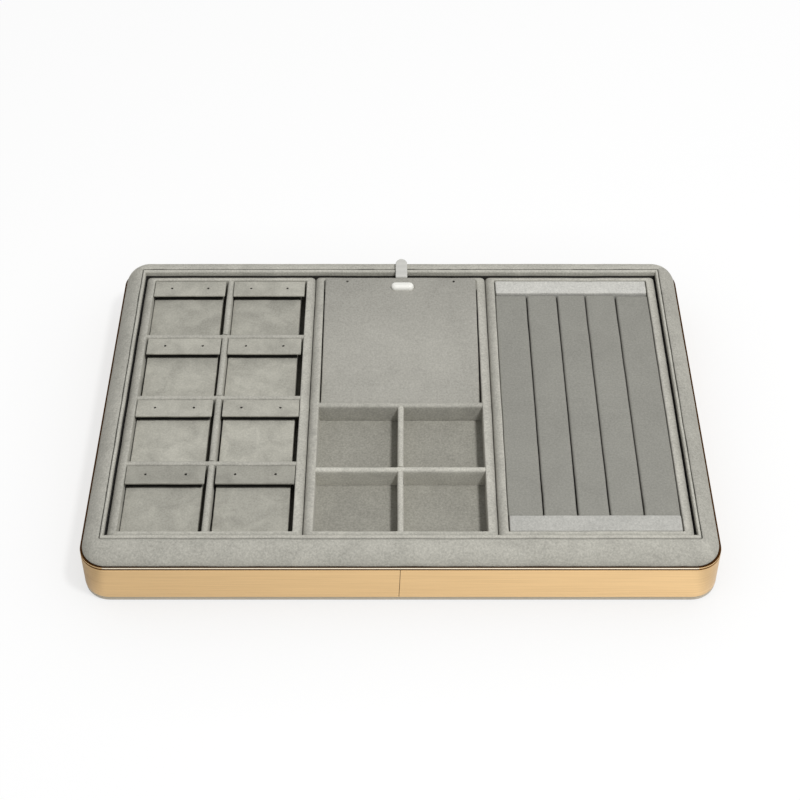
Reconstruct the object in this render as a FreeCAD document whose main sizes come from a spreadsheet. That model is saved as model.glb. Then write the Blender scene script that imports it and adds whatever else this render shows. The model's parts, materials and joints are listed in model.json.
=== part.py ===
import FreeCAD, Part
import Sketcher
import math
import os
import re

Vector = FreeCAD.Vector
Constraint = Sketcher.Constraint

# Driving sizes in millimetres.
SIZES = {
    # Outer tray: footprint, height to the top of the liner, outside corner
    "tray_length": 346.0,
    "tray_width": 235.5,
    "tray_height": 38.6,
    "corner_radius": 15.2,
    # Base plate, set in a little from the metal band
    "base_thickness": 2.8,
    "base_inset": 0.3,
    "base_round": 0.5,
    # Metal band: one strip bent round the rails, a groove under its lip, ends butted at the front centre
    "band_height": 26.0,
    "band_thickness": 1.5,
    "band_lip": 1.1,
    "groove_height": 0.6,
    "groove_depth": 0.4,
    "band_joint": 0.2,
    "glue_line": 0.1,
    # Rim: rounded frame on the rails, nearly flush with the band and parted from it by a shadow gap
    "rim_inset": 0.4,
    "shadow_gap": 1.2,
    "rim_width": 11.65,
    "rim_round": 8.6,
    "rim_flat": 0.7,
    "rim_inner_round": 0.3,
    "rim_step": 0.2,
    # Liner boards and floor of the well
    "side_liner": 1.6,
    "end_liner": 2.4,
    "liner_round": 1.1,
    "floor_thickness": 3.0,
    # Lift-out inserts: play in the well, gap between two inserts, walls and floor
    "insert_play": 0.95,
    "insert_gap": 0.4,
    "insert_recess": 2.9,
    "insert_height": 15.8,
    "nap_gap": 0.2,
    "side_wall": 5.3,
    "end_wall": 3.6,
    "insert_floor": 2.8,
    "insert_corner": 2.0,
    "wall_round": 1.6,
    # Dividers of the earring insert, halved together where they cross
    "long_divider": 3.6,
    "cross_divider": 3.0,
    "divider_drop": 0.5,
    "divider_round": 1.2,
    "lap_clearance": 0.1,
    # Earring cards: folded strip with two pin holes over a thick foot pad
    "card_thickness": 1.3,
    "card_side_play": 0.8,
    "card_end_play": 0.3,
    "card_lean": 0.4,
    "card_drop": 0.6,
    "card_bend": 0.9,
    "pad_thickness": 5.5,
    "strip_depth": 13.1,
    "pin_hole": 1.6,
    "pin_pitch": 22.5,
    # Pendant insert: bay under the sloping board, and the compartments in front of it
    "board_bay": 102.5,
    "cross_wall": 3.6,
    "front_compartment": 42.6,
    "compartment_divider": 3.4,
    # Pendant board, its slot, chain holes, retaining bar and pull tab
    "board_thickness": 3.0,
    "board_side_gap": 0.8,
    "board_front_gap": 0.6,
    "board_back_gap": 1.3,
    "board_rise": 3.4,
    "board_dip": 5.8,
    "board_round": 0.8,
    "slot_length": 14.3,
    "slot_width": 5.9,
    "slot_inset": 7.7,
    "slot_aside": 1.2,
    "bar_proud": 2.4,
    "bar_clearance": 0.1,
    "chain_hole": 1.6,
    "chain_span": 66.0,
    "chain_inset": 3.2,
    "tab_width": 7.2,
    "tab_aside": 0.6,
    "tab_thickness": 0.8,
    "tab_reach": 14.4,
    "rest_depth": 8.0,
    # Ring insert: bed board, end bars and foam rolls
    "ring_bed": 2.0,
    "end_bar_depth": 10.8,
    "end_bar_gap": 0.4,
    "end_bar_side_gap": 0.7,
    "end_bar_drop": 0.3,
    "end_bar_round": 0.8,
    "roll_gap": 0.3,
    "roll_side_gap": 0.3,
    "roll_end_gap": 0.4,
    "roll_drop": 0.7,
    "roll_shoulder": 2.6,
    "roll_crown": 0.5,
    "roll_draw": 0.7,
    "roll_end_round": 2.5,
}

EARRING_ROWS = 4
EARRING_COLUMNS = ("left", "right")
RING_ROLLS = 5
# Side to which each card has slid in its cell, row by row from the back: -1 left, 1 right.
CARD_LEANS = ((-1, -1), (1, -1), (-1, 1), (-1, 1))

# Most that a round may take: of a board's thickness, of an upright corner, of a fold, of a roll.
EDGE_SHARE = 0.45
CORNER_SHARE = 0.9
FOLD_SHARE = 0.8
ROLL_SHARE = 0.7
# Corner radius of a pill-shaped outline, as a share of its width.
PILL_SHARE = 0.49
# Depth of a cut that goes right through a board, as a multiple of the board's thickness.
CUT_THROUGH = 1.5
# Distance in millimetres and volume in cubic millimetres that count as nothing.
SAME_PLACE = 1e-4
NO_VOLUME = 1e-3

# Sizes and places that follow from the driving sizes.
DERIVED = {
    "band_top": "base_thickness + band_height",
    "rail_inset": "band_thickness + glue_line",
    "opening_inset": "rim_inset + rim_width",
    "opening_length": "tray_length - 2*opening_inset",
    "opening_width": "tray_width - 2*opening_inset",
    "well_length": "opening_length - 2*side_liner",
    "well_width": "opening_width - 2*end_liner",
    "rim_foot": "band_top + shadow_gap",
    "rim_top": "tray_height - rim_step",
    "rim_corner": "corner_radius - rim_inset",
    "rim_inner_corner": "sqrt(2)*max(rim_corner - rim_width; 0)",
    "rim_room": "min(rim_width; rim_top - rim_foot; rim_corner - rim_inner_corner)",
    "rim_turn": "min(rim_round; rim_room - rim_flat)",
    "insert_top": "tray_height - insert_recess",
    "insert_base": "insert_top - insert_height",
    "floor_top": "insert_base - nap_gap",
    "insert_width": "(well_length - 2*insert_play - 2*insert_gap)/3",
    "insert_length": "well_width - 2*insert_play",
    "insert_pitch": "insert_width + insert_gap",
    "bay_width": "insert_width - 2*side_wall",
    "bay_length": "insert_length - 2*end_wall",
    "bay_height": "insert_height - insert_floor",
    "bay_floor": "insert_base + insert_floor",
    "divider_height": "bay_height - divider_drop",
    "cell_width": "(bay_width - long_divider)/2",
    "cell_length": f"(bay_length - {EARRING_ROWS - 1}*cross_divider)/{EARRING_ROWS}",
    "cell_pitch_across": "cell_width + long_divider",
    "cell_pitch_along": "cell_length + cross_divider",
    "card_width": "cell_width - 2*card_side_play",
    "card_length": "cell_length - 2*card_end_play",
    "card_height": "bay_height - card_drop - nap_gap",
    "compartments_length": "bay_length - board_bay - cross_wall",
    "cross_wall_back": "bay_length/2 - board_bay",
    "board_width": "bay_width - 2*board_side_gap",
    "board_run": "board_bay - board_front_gap - board_back_gap",
    "board_climb": "board_rise + board_dip",
    "board_length": "sqrt(board_run^2 + board_climb^2)",
    "board_slope": "board_climb/board_run",
    "board_front": "cross_wall_back + board_front_gap",
    "board_under": "bay_height - board_dip - board_thickness*board_length/board_run - nap_gap",
    "end_bar_height": "bay_height - ring_bed - end_bar_drop",
    "roll_width": f"(bay_width - 2*roll_side_gap - {RING_ROLLS - 1}*roll_gap)/{RING_ROLLS}",
    "roll_pitch": "roll_width + roll_gap",
    "roll_height": "bay_height - ring_bed - roll_drop",
    "roll_length": "bay_length - 2*(end_bar_gap + end_bar_depth + roll_end_gap)",
}

doc = FreeCAD.newDocument("jewelry_tray")
sheet = doc.addObject("Spreadsheet::Sheet", "dims")
for row, (size_name, size_value) in enumerate(SIZES.items(), start=1):
    sheet.set(f"A{row}", size_name.replace("_", " "))
    sheet.set(f"B{row}", str(size_value))
    sheet.setAlias(f"B{row}", size_name)
doc.recompute()

nodes = []


def expand(formula):
    """The formula with derived names written out and every driving size read from the sheet."""

    def written_out(match):
        name = match.group(0)
        if name in DERIVED:
            return f"({expand(DERIVED[name])})"
        return f"dims.{name}" if name in SIZES else name

    return re.sub(r"[a-z][a-z_]*", written_out, formula)


def value(formula):
    """The formula's present value."""
    return float(sheet.evalExpression(expand(formula)))


def bind(thing, prop, formula):
    """Tie a property to the sheet."""
    thing.setExpression(prop, expand(formula))


def place(thing, x, y, z, slope="0"):
    """Set a sub-part's place, tipped about X so that it climbs by slope towards the back."""
    turn = f"rotation(vector(1; 0; 0); atan({slope}))"
    bind(thing, "Placement", f"placement(vector({x}; {y}; {z}); {turn})")


def new_body(label):
    """An empty body that becomes one sub-part."""
    body = doc.addObject("PartDesign::Body", label)
    body.Label = label
    return body


def new_sketch(body, name, role, lift="0"):
    """A sketch on one of the body's own planes, raised along its normal."""
    sketch = body.newObject("Sketcher::SketchObject", name)
    support = next(plane for plane in body.Origin.OriginFeatures if plane.Role == role)
    sketch.AttachmentSupport = [(support, "")]
    sketch.MapMode = "FlatFace"
    bind(sketch, "AttachmentOffset.Base.z", lift)
    return sketch


def fix_point(sketch, geometry, point, x, y):
    """Tie a sketch point's two coordinates to formulas."""
    for kind, formula, axis in (("DistanceX", x, -2), ("DistanceY", y, -1)):
        if formula == "0":
            sketch.addConstraint(Constraint("PointOnObject", geometry, point, axis))
        else:
            datum = Constraint(kind, -1, 1, geometry, point, value(formula))
            bind(sketch, f"Constraints[{sketch.addConstraint(datum)}]", formula)


def polygon(sketch, corners):
    """Draw a closed outline of straight sides; each corner is a pair of formulas."""
    points = [Vector(value(x), value(y), 0) for x, y in corners]
    count = len(corners)
    for side in range(count):
        sketch.addGeometry(Part.LineSegment(points[side], points[(side + 1) % count]))
    for side in range(count):
        sketch.addConstraint(Constraint("Coincident", side, 2, (side + 1) % count, 1))
    for side, (x, y) in enumerate(corners):
        fix_point(sketch, side, 1, x, y)
    return sketch


def rectangle(x_low, y_low, x_high, y_high):
    """Corners of an upright rectangle, anticlockwise."""
    return ((x_low, y_low), (x_high, y_low), (x_high, y_high), (x_low, y_high))


def centred(length, width):
    """Corners of a rectangle about the origin."""
    return rectangle(f"-({length})/2", f"-({width})/2", f"({length})/2", f"({width})/2")


def rounded_rectangle(sketch, length, width, radius):
    """Draw a rectangle about the origin whose corners are quarter circles."""
    half_length, half_width, turn = value(length)/2, value(width)/2, value(radius)
    inner_x, inner_y = half_length - turn, half_width - turn
    sides = (
        (-inner_x, -half_width, inner_x, -half_width),
        (half_length, -inner_y, half_length, inner_y),
        (inner_x, half_width, -inner_x, half_width),
        (-half_length, inner_y, -half_length, -inner_y),
    )
    for x1, y1, x2, y2 in sides:
        sketch.addGeometry(Part.LineSegment(Vector(x1, y1, 0), Vector(x2, y2, 0)))
    centres = ((inner_x, -inner_y), (inner_x, inner_y), (-inner_x, inner_y), (-inner_x, -inner_y))
    for corner, (x, y) in enumerate(centres):
        circle = Part.Circle(Vector(x, y, 0), Vector(0, 0, 1), turn)
        start = (corner - 1)*math.pi/2
        sketch.addGeometry(Part.ArcOfCircle(circle, start, start + math.pi/2))
    for side in range(4):
        sketch.addConstraint(Constraint("Tangent", side, 2, 4 + side, 1))
        sketch.addConstraint(Constraint("Tangent", 4 + side, 2, (side + 1) % 4, 1))
        sketch.addConstraint(Constraint("Horizontal" if side % 2 == 0 else "Vertical", side))
    for corner in (5, 6, 7):
        sketch.addConstraint(Constraint("Equal", 4, corner))
    bounds = (
        (Constraint("Radius", 4, turn), radius),
        (Constraint("DistanceX", -1, 1, 3, 1, -half_length), f"-({length})/2"),
        (Constraint("DistanceX", -1, 1, 1, 1, half_length), f"({length})/2"),
        (Constraint("DistanceY", -1, 1, 0, 1, -half_width), f"-({width})/2"),
        (Constraint("DistanceY", -1, 1, 2, 1, half_width), f"({width})/2"),
    )
    for constraint, formula in bounds:
        bind(sketch, f"Constraints[{sketch.addConstraint(constraint)}]", formula)
    return sketch


def circles(sketch, centres, diameter):
    """Draw equal circles at centres given as pairs of formulas."""
    radius = value(diameter)/2
    for index, (x, y) in enumerate(centres):
        centre = Vector(value(x), value(y), 0)
        sketch.addGeometry(Part.Circle(centre, Vector(0, 0, 1), radius))
        fix_point(sketch, index, 3, x, y)
        datum = sketch.addConstraint(Constraint("Diameter", index, 2*radius))
        bind(sketch, f"Constraints[{datum}]", diameter)
    return sketch


def pad(body, sketch, length, backwards=False):
    """Raise a sketch into a solid."""
    feature = body.newObject("PartDesign::Pad", f"{sketch.Name}_pad")
    feature.Profile = sketch
    feature.Reversed = backwards
    bind(feature, "Length", length)
    doc.recompute()
    return feature


def pocket(body, sketch, depth, upwards=False):
    """Cut a sketch out of the body, and make sure that something was cut."""
    before = body.Shape.Volume
    feature = body.newObject("PartDesign::Pocket", f"{sketch.Name}_cut")
    feature.Profile = sketch
    feature.Reversed = upwards
    bind(feature, "Length", depth)
    doc.recompute()
    if body.Shape.Volume > before - NO_VOLUME:
        raise RuntimeError(f"{feature.Name} cuts nothing")
    return feature


def level(formula):
    """Test for edges that lie wholly at one height."""
    height = value(formula)

    def test(edge):
        box = edge.BoundBox
        return abs(box.ZMin - height) < SAME_PLACE and abs(box.ZMax - height) < SAME_PLACE

    return test


def along(axis):
    """Test for straight edges parallel to an axis."""

    def test(edge):
        box = edge.BoundBox
        spans = {"x": box.XLength, "y": box.YLength, "z": box.ZLength}
        return spans.pop(axis) > SAME_PLACE and max(spans.values()) < SAME_PLACE

    return test


def both(*tests):
    """Test for edges that pass several tests."""
    return lambda edge: all(test(edge) for test in tests)


def at_back(formula):
    """Test for edges that lie wholly at one distance towards the back."""
    target = value(formula)

    def test(edge):
        box = edge.BoundBox
        return abs(box.YMin - target) < SAME_PLACE and abs(box.YMax - target) < SAME_PLACE

    return test


def within(length, width):
    """Test for edges inside or on an upright rectangle about the origin."""
    reach_x, reach_y = value(length)/2 + SAME_PLACE, value(width)/2 + SAME_PLACE

    def test(edge):
        box = edge.BoundBox
        return max(-box.XMin, box.XMax) < reach_x and max(-box.YMin, box.YMax) < reach_y

    return test


def round_edges(body, radius, test):
    """Round every edge of the body's present shape that passes the test."""
    base = body.Tip
    names = [f"Edge{i}" for i, edge in enumerate(base.Shape.Edges, start=1) if test(edge)]
    if not names:
        raise RuntimeError(f"{body.Label} has no edge to round")
    feature = body.newObject("PartDesign::Fillet", f"{body.Name}_round")
    feature.Base = (base, names)
    bind(feature, "Radius", radius)
    doc.recompute()
    return feature


def keep(thing):
    """Count a finished object as a sub-part."""
    nodes.append(thing)
    return thing


def block(label, length, width, height, x, y, z):
    """A board or bar standing on z, centred on x and y."""
    body = new_body(label)
    outline = polygon(new_sketch(body, f"{label}_outline", "XY_Plane"), centred(length, width))
    pad(body, outline, height)
    place(body, x, y, z)
    return keep(body)


def rounded_block(label, length, width, radius, height, z):
    """A board with rounded corners standing on z about the tray's centre."""
    body = new_body(label)
    sketch = new_sketch(body, f"{label}_outline", "XY_Plane")
    pad(body, rounded_rectangle(sketch, length, width, radius), height)
    place(body, "0", "0", z)
    return body


def base_plate():
    """Thin wrapped board that the whole tray stands on."""
    body = rounded_block(
        "base_plate", "tray_length - 2*base_inset", "tray_width - 2*base_inset",
        "corner_radius - base_inset", "base_thickness", "0")
    round_edges(body, f"min(base_round; base_thickness*{EDGE_SHARE})", level("0"))
    keep(body)


def rails():
    """Four rails of the inner frame, mitred at the corners and rounded to the band's inside."""
    height = "rim_foot - base_thickness"
    length, width = "(tray_length - 2*rail_inset)", "(tray_width - 2*rail_inset)"
    blank = rounded_block(
        "frame_blank", length, width, "corner_radius - rail_inset", height, "base_thickness")
    opening = new_sketch(blank, "frame_opening", "XY_Plane")
    pocket(blank, polygon(opening, centred("opening_length", "opening_width")), height, True)
    x, y, spine = f"{length}/2", f"{width}/2", f"({length} - {width})/2"
    sectors = {
        "rail_front": ((f"-{x}", f"-{y}"), (x, f"-{y}"), (spine, "0"), (f"-{spine}", "0")),
        "rail_back": ((x, y), (f"-{x}", y), (f"-{spine}", "0"), (spine, "0")),
        "rail_left": ((f"-{x}", y), (f"-{x}", f"-{y}"), (f"-{spine}", "0")),
        "rail_right": ((x, f"-{y}"), (x, y), (spine, "0")),
    }
    for label, corners in sectors.items():
        sector = new_body(f"{label}_sector")
        sketch = new_sketch(sector, f"{label}_mitres", "XY_Plane")
        pad(sector, polygon(sketch, corners), height)
        place(sector, "0", "0", "base_thickness")
        rail = doc.addObject("Part::Common", label)
        rail.Label = label
        rail.Base = blank
        rail.Tool = sector
        doc.recompute()
        keep(rail)


def metal_band():
    """One strip bent round the rails, grooved under its lip, its ends butted at the front centre."""
    face_height = "band_height - band_lip - groove_height"
    body = rounded_block(
        "metal_band", "tray_length", "tray_width", "corner_radius", face_height, "base_thickness")
    neck = new_sketch(body, "band_groove", "XY_Plane", face_height)
    rounded_rectangle(
        neck, "tray_length - 2*groove_depth", "tray_width - 2*groove_depth",
        "corner_radius - groove_depth")
    pad(body, neck, "groove_height")
    lip = new_sketch(body, "band_lip", "XY_Plane", "band_height - band_lip")
    pad(body, rounded_rectangle(lip, "tray_length", "tray_width", "corner_radius"), "band_lip")
    inside = new_sketch(body, "band_inside", "XY_Plane")
    rounded_rectangle(
        inside, "tray_length - 2*band_thickness", "tray_width - 2*band_thickness",
        "corner_radius - band_thickness")
    pocket(body, inside, "band_height", True)
    joint = new_sketch(body, "band_butt", "XY_Plane")
    polygon(joint, rectangle(
        "-band_joint/2", "-tray_width/2", "band_joint/2", "band_thickness - tray_width/2"))
    pocket(body, joint, "band_height", True)
    keep(body)


def rim_frame():
    """Wrapped frame with a quarter-round outside, standing on the rails over the band's lip."""
    height = "rim_top - rim_foot"
    body = rounded_block(
        "rim_frame", "tray_length - 2*rim_inset", "tray_width - 2*rim_inset",
        "rim_corner", height, "rim_foot")
    round_edges(body, "rim_turn", level(height))
    opening = new_sketch(body, "rim_opening", "XY_Plane")
    pocket(body, polygon(opening, centred("opening_length", "opening_width")), height, True)
    inner_edges = both(level(height), within("opening_length", "opening_width"))
    round_edges(body, f"min(rim_inner_round; rim_flat*{EDGE_SHARE})", inner_edges)
    keep(body)


def well():
    """Riser and floor of the well, and the four liner boards with rounded top edges."""
    block("riser_board", "opening_length", "opening_width",
          "floor_top - floor_thickness - base_thickness", "0", "0", "base_thickness")
    block("well_floor", "opening_length", "opening_width", "floor_thickness",
          "0", "0", "floor_top - floor_thickness")
    height = "tray_height - floor_top"
    across, back = "(well_length + side_liner)/2", "(well_width + end_liner)/2"
    liners = (
        ("liner_front", "opening_length", "end_liner", "0", f"-{back}", "x"),
        ("liner_back", "opening_length", "end_liner", "0", back, "x"),
        ("liner_left", "side_liner", "well_width", f"-{across}", "0", "y"),
        ("liner_right", "side_liner", "well_width", across, "0", "y"),
    )
    for label, length, width, x, y, run in liners:
        liner = block(label, length, width, height, x, y, "floor_top")
        top_edges = both(level(height), along(run))
        thickness = width if run == "x" else length
        round_edges(liner, f"min(liner_round; {thickness}*{EDGE_SHARE})", top_edges)


def insert_box(label, x):
    """Wrapped box of a lift-out insert: one floor, four walls with rounded top edges."""
    body = new_body(label)
    outline = new_sketch(body, f"{label}_outline", "XY_Plane")
    rounded_rectangle(outline, "insert_width", "insert_length", "insert_corner")
    pad(body, outline, "insert_height")
    cavity = new_sketch(body, f"{label}_bay", "XY_Plane", "insert_floor")
    pocket(body, polygon(cavity, centred("bay_width", "bay_length")), "bay_height", True)
    thinner_wall = f"min(end_wall; side_wall)*{EDGE_SHARE}"
    top_round = f"min(wall_round; insert_corner*{CORNER_SHARE}; {thinner_wall})"
    round_edges(body, top_round, level("insert_height"))
    place(body, x, "0", "insert_base")
    keep(body)


def notched_outline(length, notches, notch_width, from_top):
    """Corners of an upright divider with half-height notches, each centred at a formula."""
    top, bottom = "divider_height", "0"
    edge, plain = (top, bottom) if from_top else (bottom, top)
    middle = f"({top} {'-' if from_top else '+'} lap_clearance)/2"
    corners = [(f"-({length})/2", plain), (f"-({length})/2", edge)]
    for centre in notches:
        low = f"{centre} - ({notch_width})/2 - lap_clearance"
        high = f"{centre} + ({notch_width})/2 + lap_clearance"
        corners += [(low, edge), (low, middle), (high, middle), (high, edge)]
    return corners + [(f"({length})/2", edge), (f"({length})/2", plain)]


def divider_along(label, length, thickness, notches, notch_width, x, y):
    """Divider that runs front to back, notched from the top."""
    body = new_body(label)
    sketch = new_sketch(body, f"{label}_side", "YZ_Plane", f"-({thickness})/2")
    pad(body, polygon(sketch, notched_outline(length, notches, notch_width, True)), thickness)
    round_edges(body, f"min(divider_round; ({thickness})*{EDGE_SHARE})",
                both(level("divider_height"), along("y")))
    place(body, x, y, "bay_floor")
    keep(body)


def divider_across(label, thickness, notch_width, x, y):
    """Divider that runs left to right over the long one, notched from below."""
    body = new_body(label)
    sketch = new_sketch(body, f"{label}_side", "XZ_Plane", f"-({thickness})/2")
    pad(body, polygon(sketch, notched_outline("bay_width", ("0",), notch_width, False)), thickness)
    round_edges(body, f"min(divider_round; ({thickness})*{EDGE_SHARE})",
                both(level("divider_height"), along("x")))
    place(body, x, y, "bay_floor")
    keep(body)


def earring_card(label, x, y):
    """Card folded to a C: thick foot pad, rear leg, and a strip with two pin holes on top."""
    body = new_body(label)
    back = "card_length/2"
    sketch = new_sketch(body, f"{label}_fold", "YZ_Plane", "-card_width/2")
    pad(body, polygon(sketch, (
        (f"-{back}", "0"),
        (back, "0"),
        (back, "card_height"),
        (f"{back} - strip_depth", "card_height"),
        (f"{back} - strip_depth", "card_height - card_thickness"),
        (f"{back} - card_thickness", "card_height - card_thickness"),
        (f"{back} - card_thickness", "pad_thickness"),
        (f"-{back}", "pad_thickness"),
    )), "card_width")
    round_edges(body, f"min(card_bend; card_thickness*{FOLD_SHARE})", both(along("x"), at_back(back)))
    pins = new_sketch(body, f"{label}_pins", "XY_Plane", "card_height")
    middle = f"{back} - strip_depth/2"
    circles(pins, (("-pin_pitch/2", middle), ("pin_pitch/2", middle)), "pin_hole")
    pocket(body, pins, f"card_thickness*{CUT_THROUGH}")
    place(body, x, y, "bay_floor + nap_gap")
    keep(body)


def earring_insert():
    """Left insert: crossed dividers, and a loose earring card in each cell."""
    centre = "-insert_pitch"
    insert_box("earring_box", centre)
    steps = [row - EARRING_ROWS/2 for row in range(1, EARRING_ROWS)]
    crossings = [f"({step})*cell_pitch_along" for step in steps]
    divider_along("earring_divider_long", "bay_length", "long_divider", crossings,
                  "cross_divider", centre, "0")
    for index, crossing in enumerate(reversed(crossings), start=1):
        divider_across(f"earring_divider_cross_{index}", "cross_divider", "long_divider",
                       centre, crossing)
    for row, leans in enumerate(CARD_LEANS):
        along_step = (EARRING_ROWS - 1)/2 - row
        for column, lean in enumerate(leans):
            across_step = column - 0.5
            earring_card(
                f"earring_card_{row + 1}_{EARRING_COLUMNS[column]}",
                f"{centre} + ({across_step})*cell_pitch_across + ({lean})*card_lean",
                f"({along_step})*cell_pitch_along")


def pendant_rest(label, near_edge, far_edge):
    """Wedge under the pendant board, cut to the board's slope."""
    body = new_body(label)
    sketch = new_sketch(body, f"{label}_side", "YZ_Plane", "-bay_width/2")

    def underside(y):
        return f"board_under + ({y} - board_front)*board_slope"

    pad(body, polygon(sketch, (
        (near_edge, "0"), (far_edge, "0"), (far_edge, underside(far_edge)),
        (near_edge, underside(near_edge)))), "bay_width")
    place(body, "0", "0", "bay_floor")
    keep(body)


def place_on_slope(body):
    """Lay a piece drawn on the pendant board's top plane, from its front edge backwards."""
    place(body, "0", "board_front", "insert_top - board_dip", "board_slope")
    keep(body)


def pendant_board():
    """Sloping board with a slot and two chain holes, its retaining bar and its folded pull tab."""
    body = new_body("pendant_board")
    outline = new_sketch(body, "board_outline", "XY_Plane")
    polygon(outline, rectangle("-board_width/2", "0", "board_width/2", "board_length"))
    pad(body, outline, "board_thickness", True)
    round_edges(body, f"min(board_round; board_thickness*{EDGE_SHARE})", level("0"))
    middle = "board_length - slot_inset"
    slot = new_sketch(body, "board_slot", "XY_Plane")
    bind(slot, "AttachmentOffset.Base.x", "slot_aside")
    bind(slot, "AttachmentOffset.Base.y", middle)
    rounded_rectangle(slot, "slot_length", "slot_width", f"slot_width*{PILL_SHARE}")
    pocket(body, slot, f"board_thickness*{CUT_THROUGH}")
    holes = new_sketch(body, "chain_holes", "XY_Plane")
    edge = "board_length - chain_inset"
    circles(holes, (("-chain_span/2", edge), ("chain_span/2", edge)), "chain_hole")
    pocket(body, holes, f"board_thickness*{CUT_THROUGH}")
    place_on_slope(body)

    bar = new_body("retaining_bar")
    bar_outline = new_sketch(bar, "bar_outline", "XY_Plane", "-board_thickness")
    bind(bar_outline, "AttachmentOffset.Base.x", "slot_aside")
    bind(bar_outline, "AttachmentOffset.Base.y", middle)
    bar_width = "(slot_width - 2*bar_clearance)"
    bar_length = "slot_length - 2*bar_clearance"
    rounded_rectangle(bar_outline, bar_length, bar_width, f"{bar_width}*{PILL_SHARE}")
    pad(bar, bar_outline, "board_thickness + bar_proud")
    round_edges(bar, f"min(bar_proud; {bar_width}*{EDGE_SHARE})", level("bar_proud"))
    place_on_slope(bar)

    tab = new_body("pull_tab")
    tab_side = new_sketch(tab, "tab_fold", "YZ_Plane", "tab_aside - tab_width/2")
    bend, end = "board_length + tab_thickness", "board_length + tab_reach"
    pad(tab, polygon(tab_side, (
        ("board_length", "-board_thickness"),
        (bend, "-board_thickness"),
        (bend, "0"),
        (end, "0"),
        (end, "tab_thickness"),
        ("board_length", "tab_thickness"),
    )), "tab_width")
    round_edges(tab, f"tab_width*{PILL_SHARE}", both(at_back(end), along("z")))
    place_on_slope(tab)


def pendant_insert():
    """Middle insert: board bay at the back, four compartments in front."""
    insert_box("pendant_box", "0")
    wall = block("pendant_cross_wall", "bay_width", "cross_wall", "divider_height",
                 "0", "cross_wall_back - cross_wall/2", "bay_floor")
    round_edges(wall, f"min(divider_round; cross_wall*{EDGE_SHARE})",
                both(level("divider_height"), along("x")))
    middle = "(cross_wall_back - cross_wall - compartments_length/2)"
    crossing = "(front_compartment + compartment_divider/2 - compartments_length/2)"
    divider_along("compartment_divider_long", "compartments_length", "compartment_divider",
                  (crossing,), "compartment_divider", "0", middle)
    divider_across("compartment_divider_cross", "compartment_divider", "compartment_divider",
                   "0", f"{middle} + {crossing}")
    pendant_rest("board_rest_front", "cross_wall_back", "cross_wall_back + rest_depth")
    pendant_rest("board_rest_back", "bay_length/2 - rest_depth", "bay_length/2")
    pendant_board()


def roll_section(y, shrink):
    """Outline of a foam roll at one place along it: flat foot, drawn-in sides, crowned top."""
    half = value("roll_width")/2 - shrink
    foot = half - value("roll_draw")
    shoulder = min(value("roll_shoulder"), half*ROLL_SHARE, value("roll_height")*ROLL_SHARE)
    peak = value("roll_height") - shrink
    brow = peak - value("roll_crown")
    side, flat = brow - shoulder, half - shoulder
    slant = shoulder*math.sqrt(0.5)

    def arc(*points):
        return Part.Arc(*[Vector(x, y, z) for x, z in points]).toShape()

    def line(start, end):
        return Part.LineSegment(Vector(start[0], y, start[1]), Vector(end[0], y, end[1])).toShape()

    return Part.Wire([
        line((-foot, 0), (foot, 0)),
        line((foot, 0), (half, side)),
        arc((half, side), (flat + slant, side + slant), (flat, brow)),
        arc((flat, brow), (0, peak), (-flat, brow)),
        arc((-flat, brow), (-flat - slant, side + slant), (-half, side)),
        line((-half, side), (-foot, 0)),
    ])


def ring_insert():
    """Right insert: bed board, two end bars and the foam rolls between them."""
    centre = "insert_pitch"
    insert_box("ring_box", centre)
    block("ring_bed_board", "bay_width", "bay_length", "ring_bed", centre, "0", "bay_floor")
    reach = "(bay_length/2 - end_bar_gap - end_bar_depth/2)"
    for label, y in (("ring_bar_front", f"-{reach}"), ("ring_bar_back", reach)):
        bar = block(label, "bay_width - 2*end_bar_side_gap", "end_bar_depth", "end_bar_height",
                    centre, y, "bay_floor + ring_bed")
        round_edges(bar, "end_bar_round", level("end_bar_height"))
    end = value("roll_length")/2
    full = end - value("roll_end_round")
    stations = ((-end, "roll_draw"), (-full, "0"), (full, "0"), (end, "roll_draw"))
    for index in range(RING_ROLLS):
        roll = doc.addObject("Part::Feature", f"ring_roll_{index + 1}")
        roll.Label = f"ring_roll_{index + 1}"
        wires = [roll_section(y, value(shrink)) for y, shrink in stations]
        roll.Shape = Part.makeLoft(wires, True, True)
        step = index - (RING_ROLLS - 1)/2
        place(roll, f"{centre} + ({step})*roll_pitch", "0", "bay_floor + ring_bed")
        keep(roll)


def export():
    """Check every object and write one file for each sub-part."""
    doc.recompute()
    broken = [thing.Label for thing in doc.Objects if {"Invalid", "Error"} & set(thing.State)]
    broken += [node.Label for node in nodes if node.Shape.isNull() or not node.Shape.isValid()]
    if broken:
        raise RuntimeError(f"not built: {', '.join(broken)}")
    os.makedirs("parts", exist_ok=True)
    for node in nodes:
        node.Shape.exportStep(f"parts/{node.Label}.step")


base_plate()
rails()
metal_band()
rim_frame()
well()
earring_insert()
pendant_insert()
ring_insert()
export()
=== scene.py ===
"""Looks of a jewelry tray with lift-out inserts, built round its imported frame."""

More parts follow.
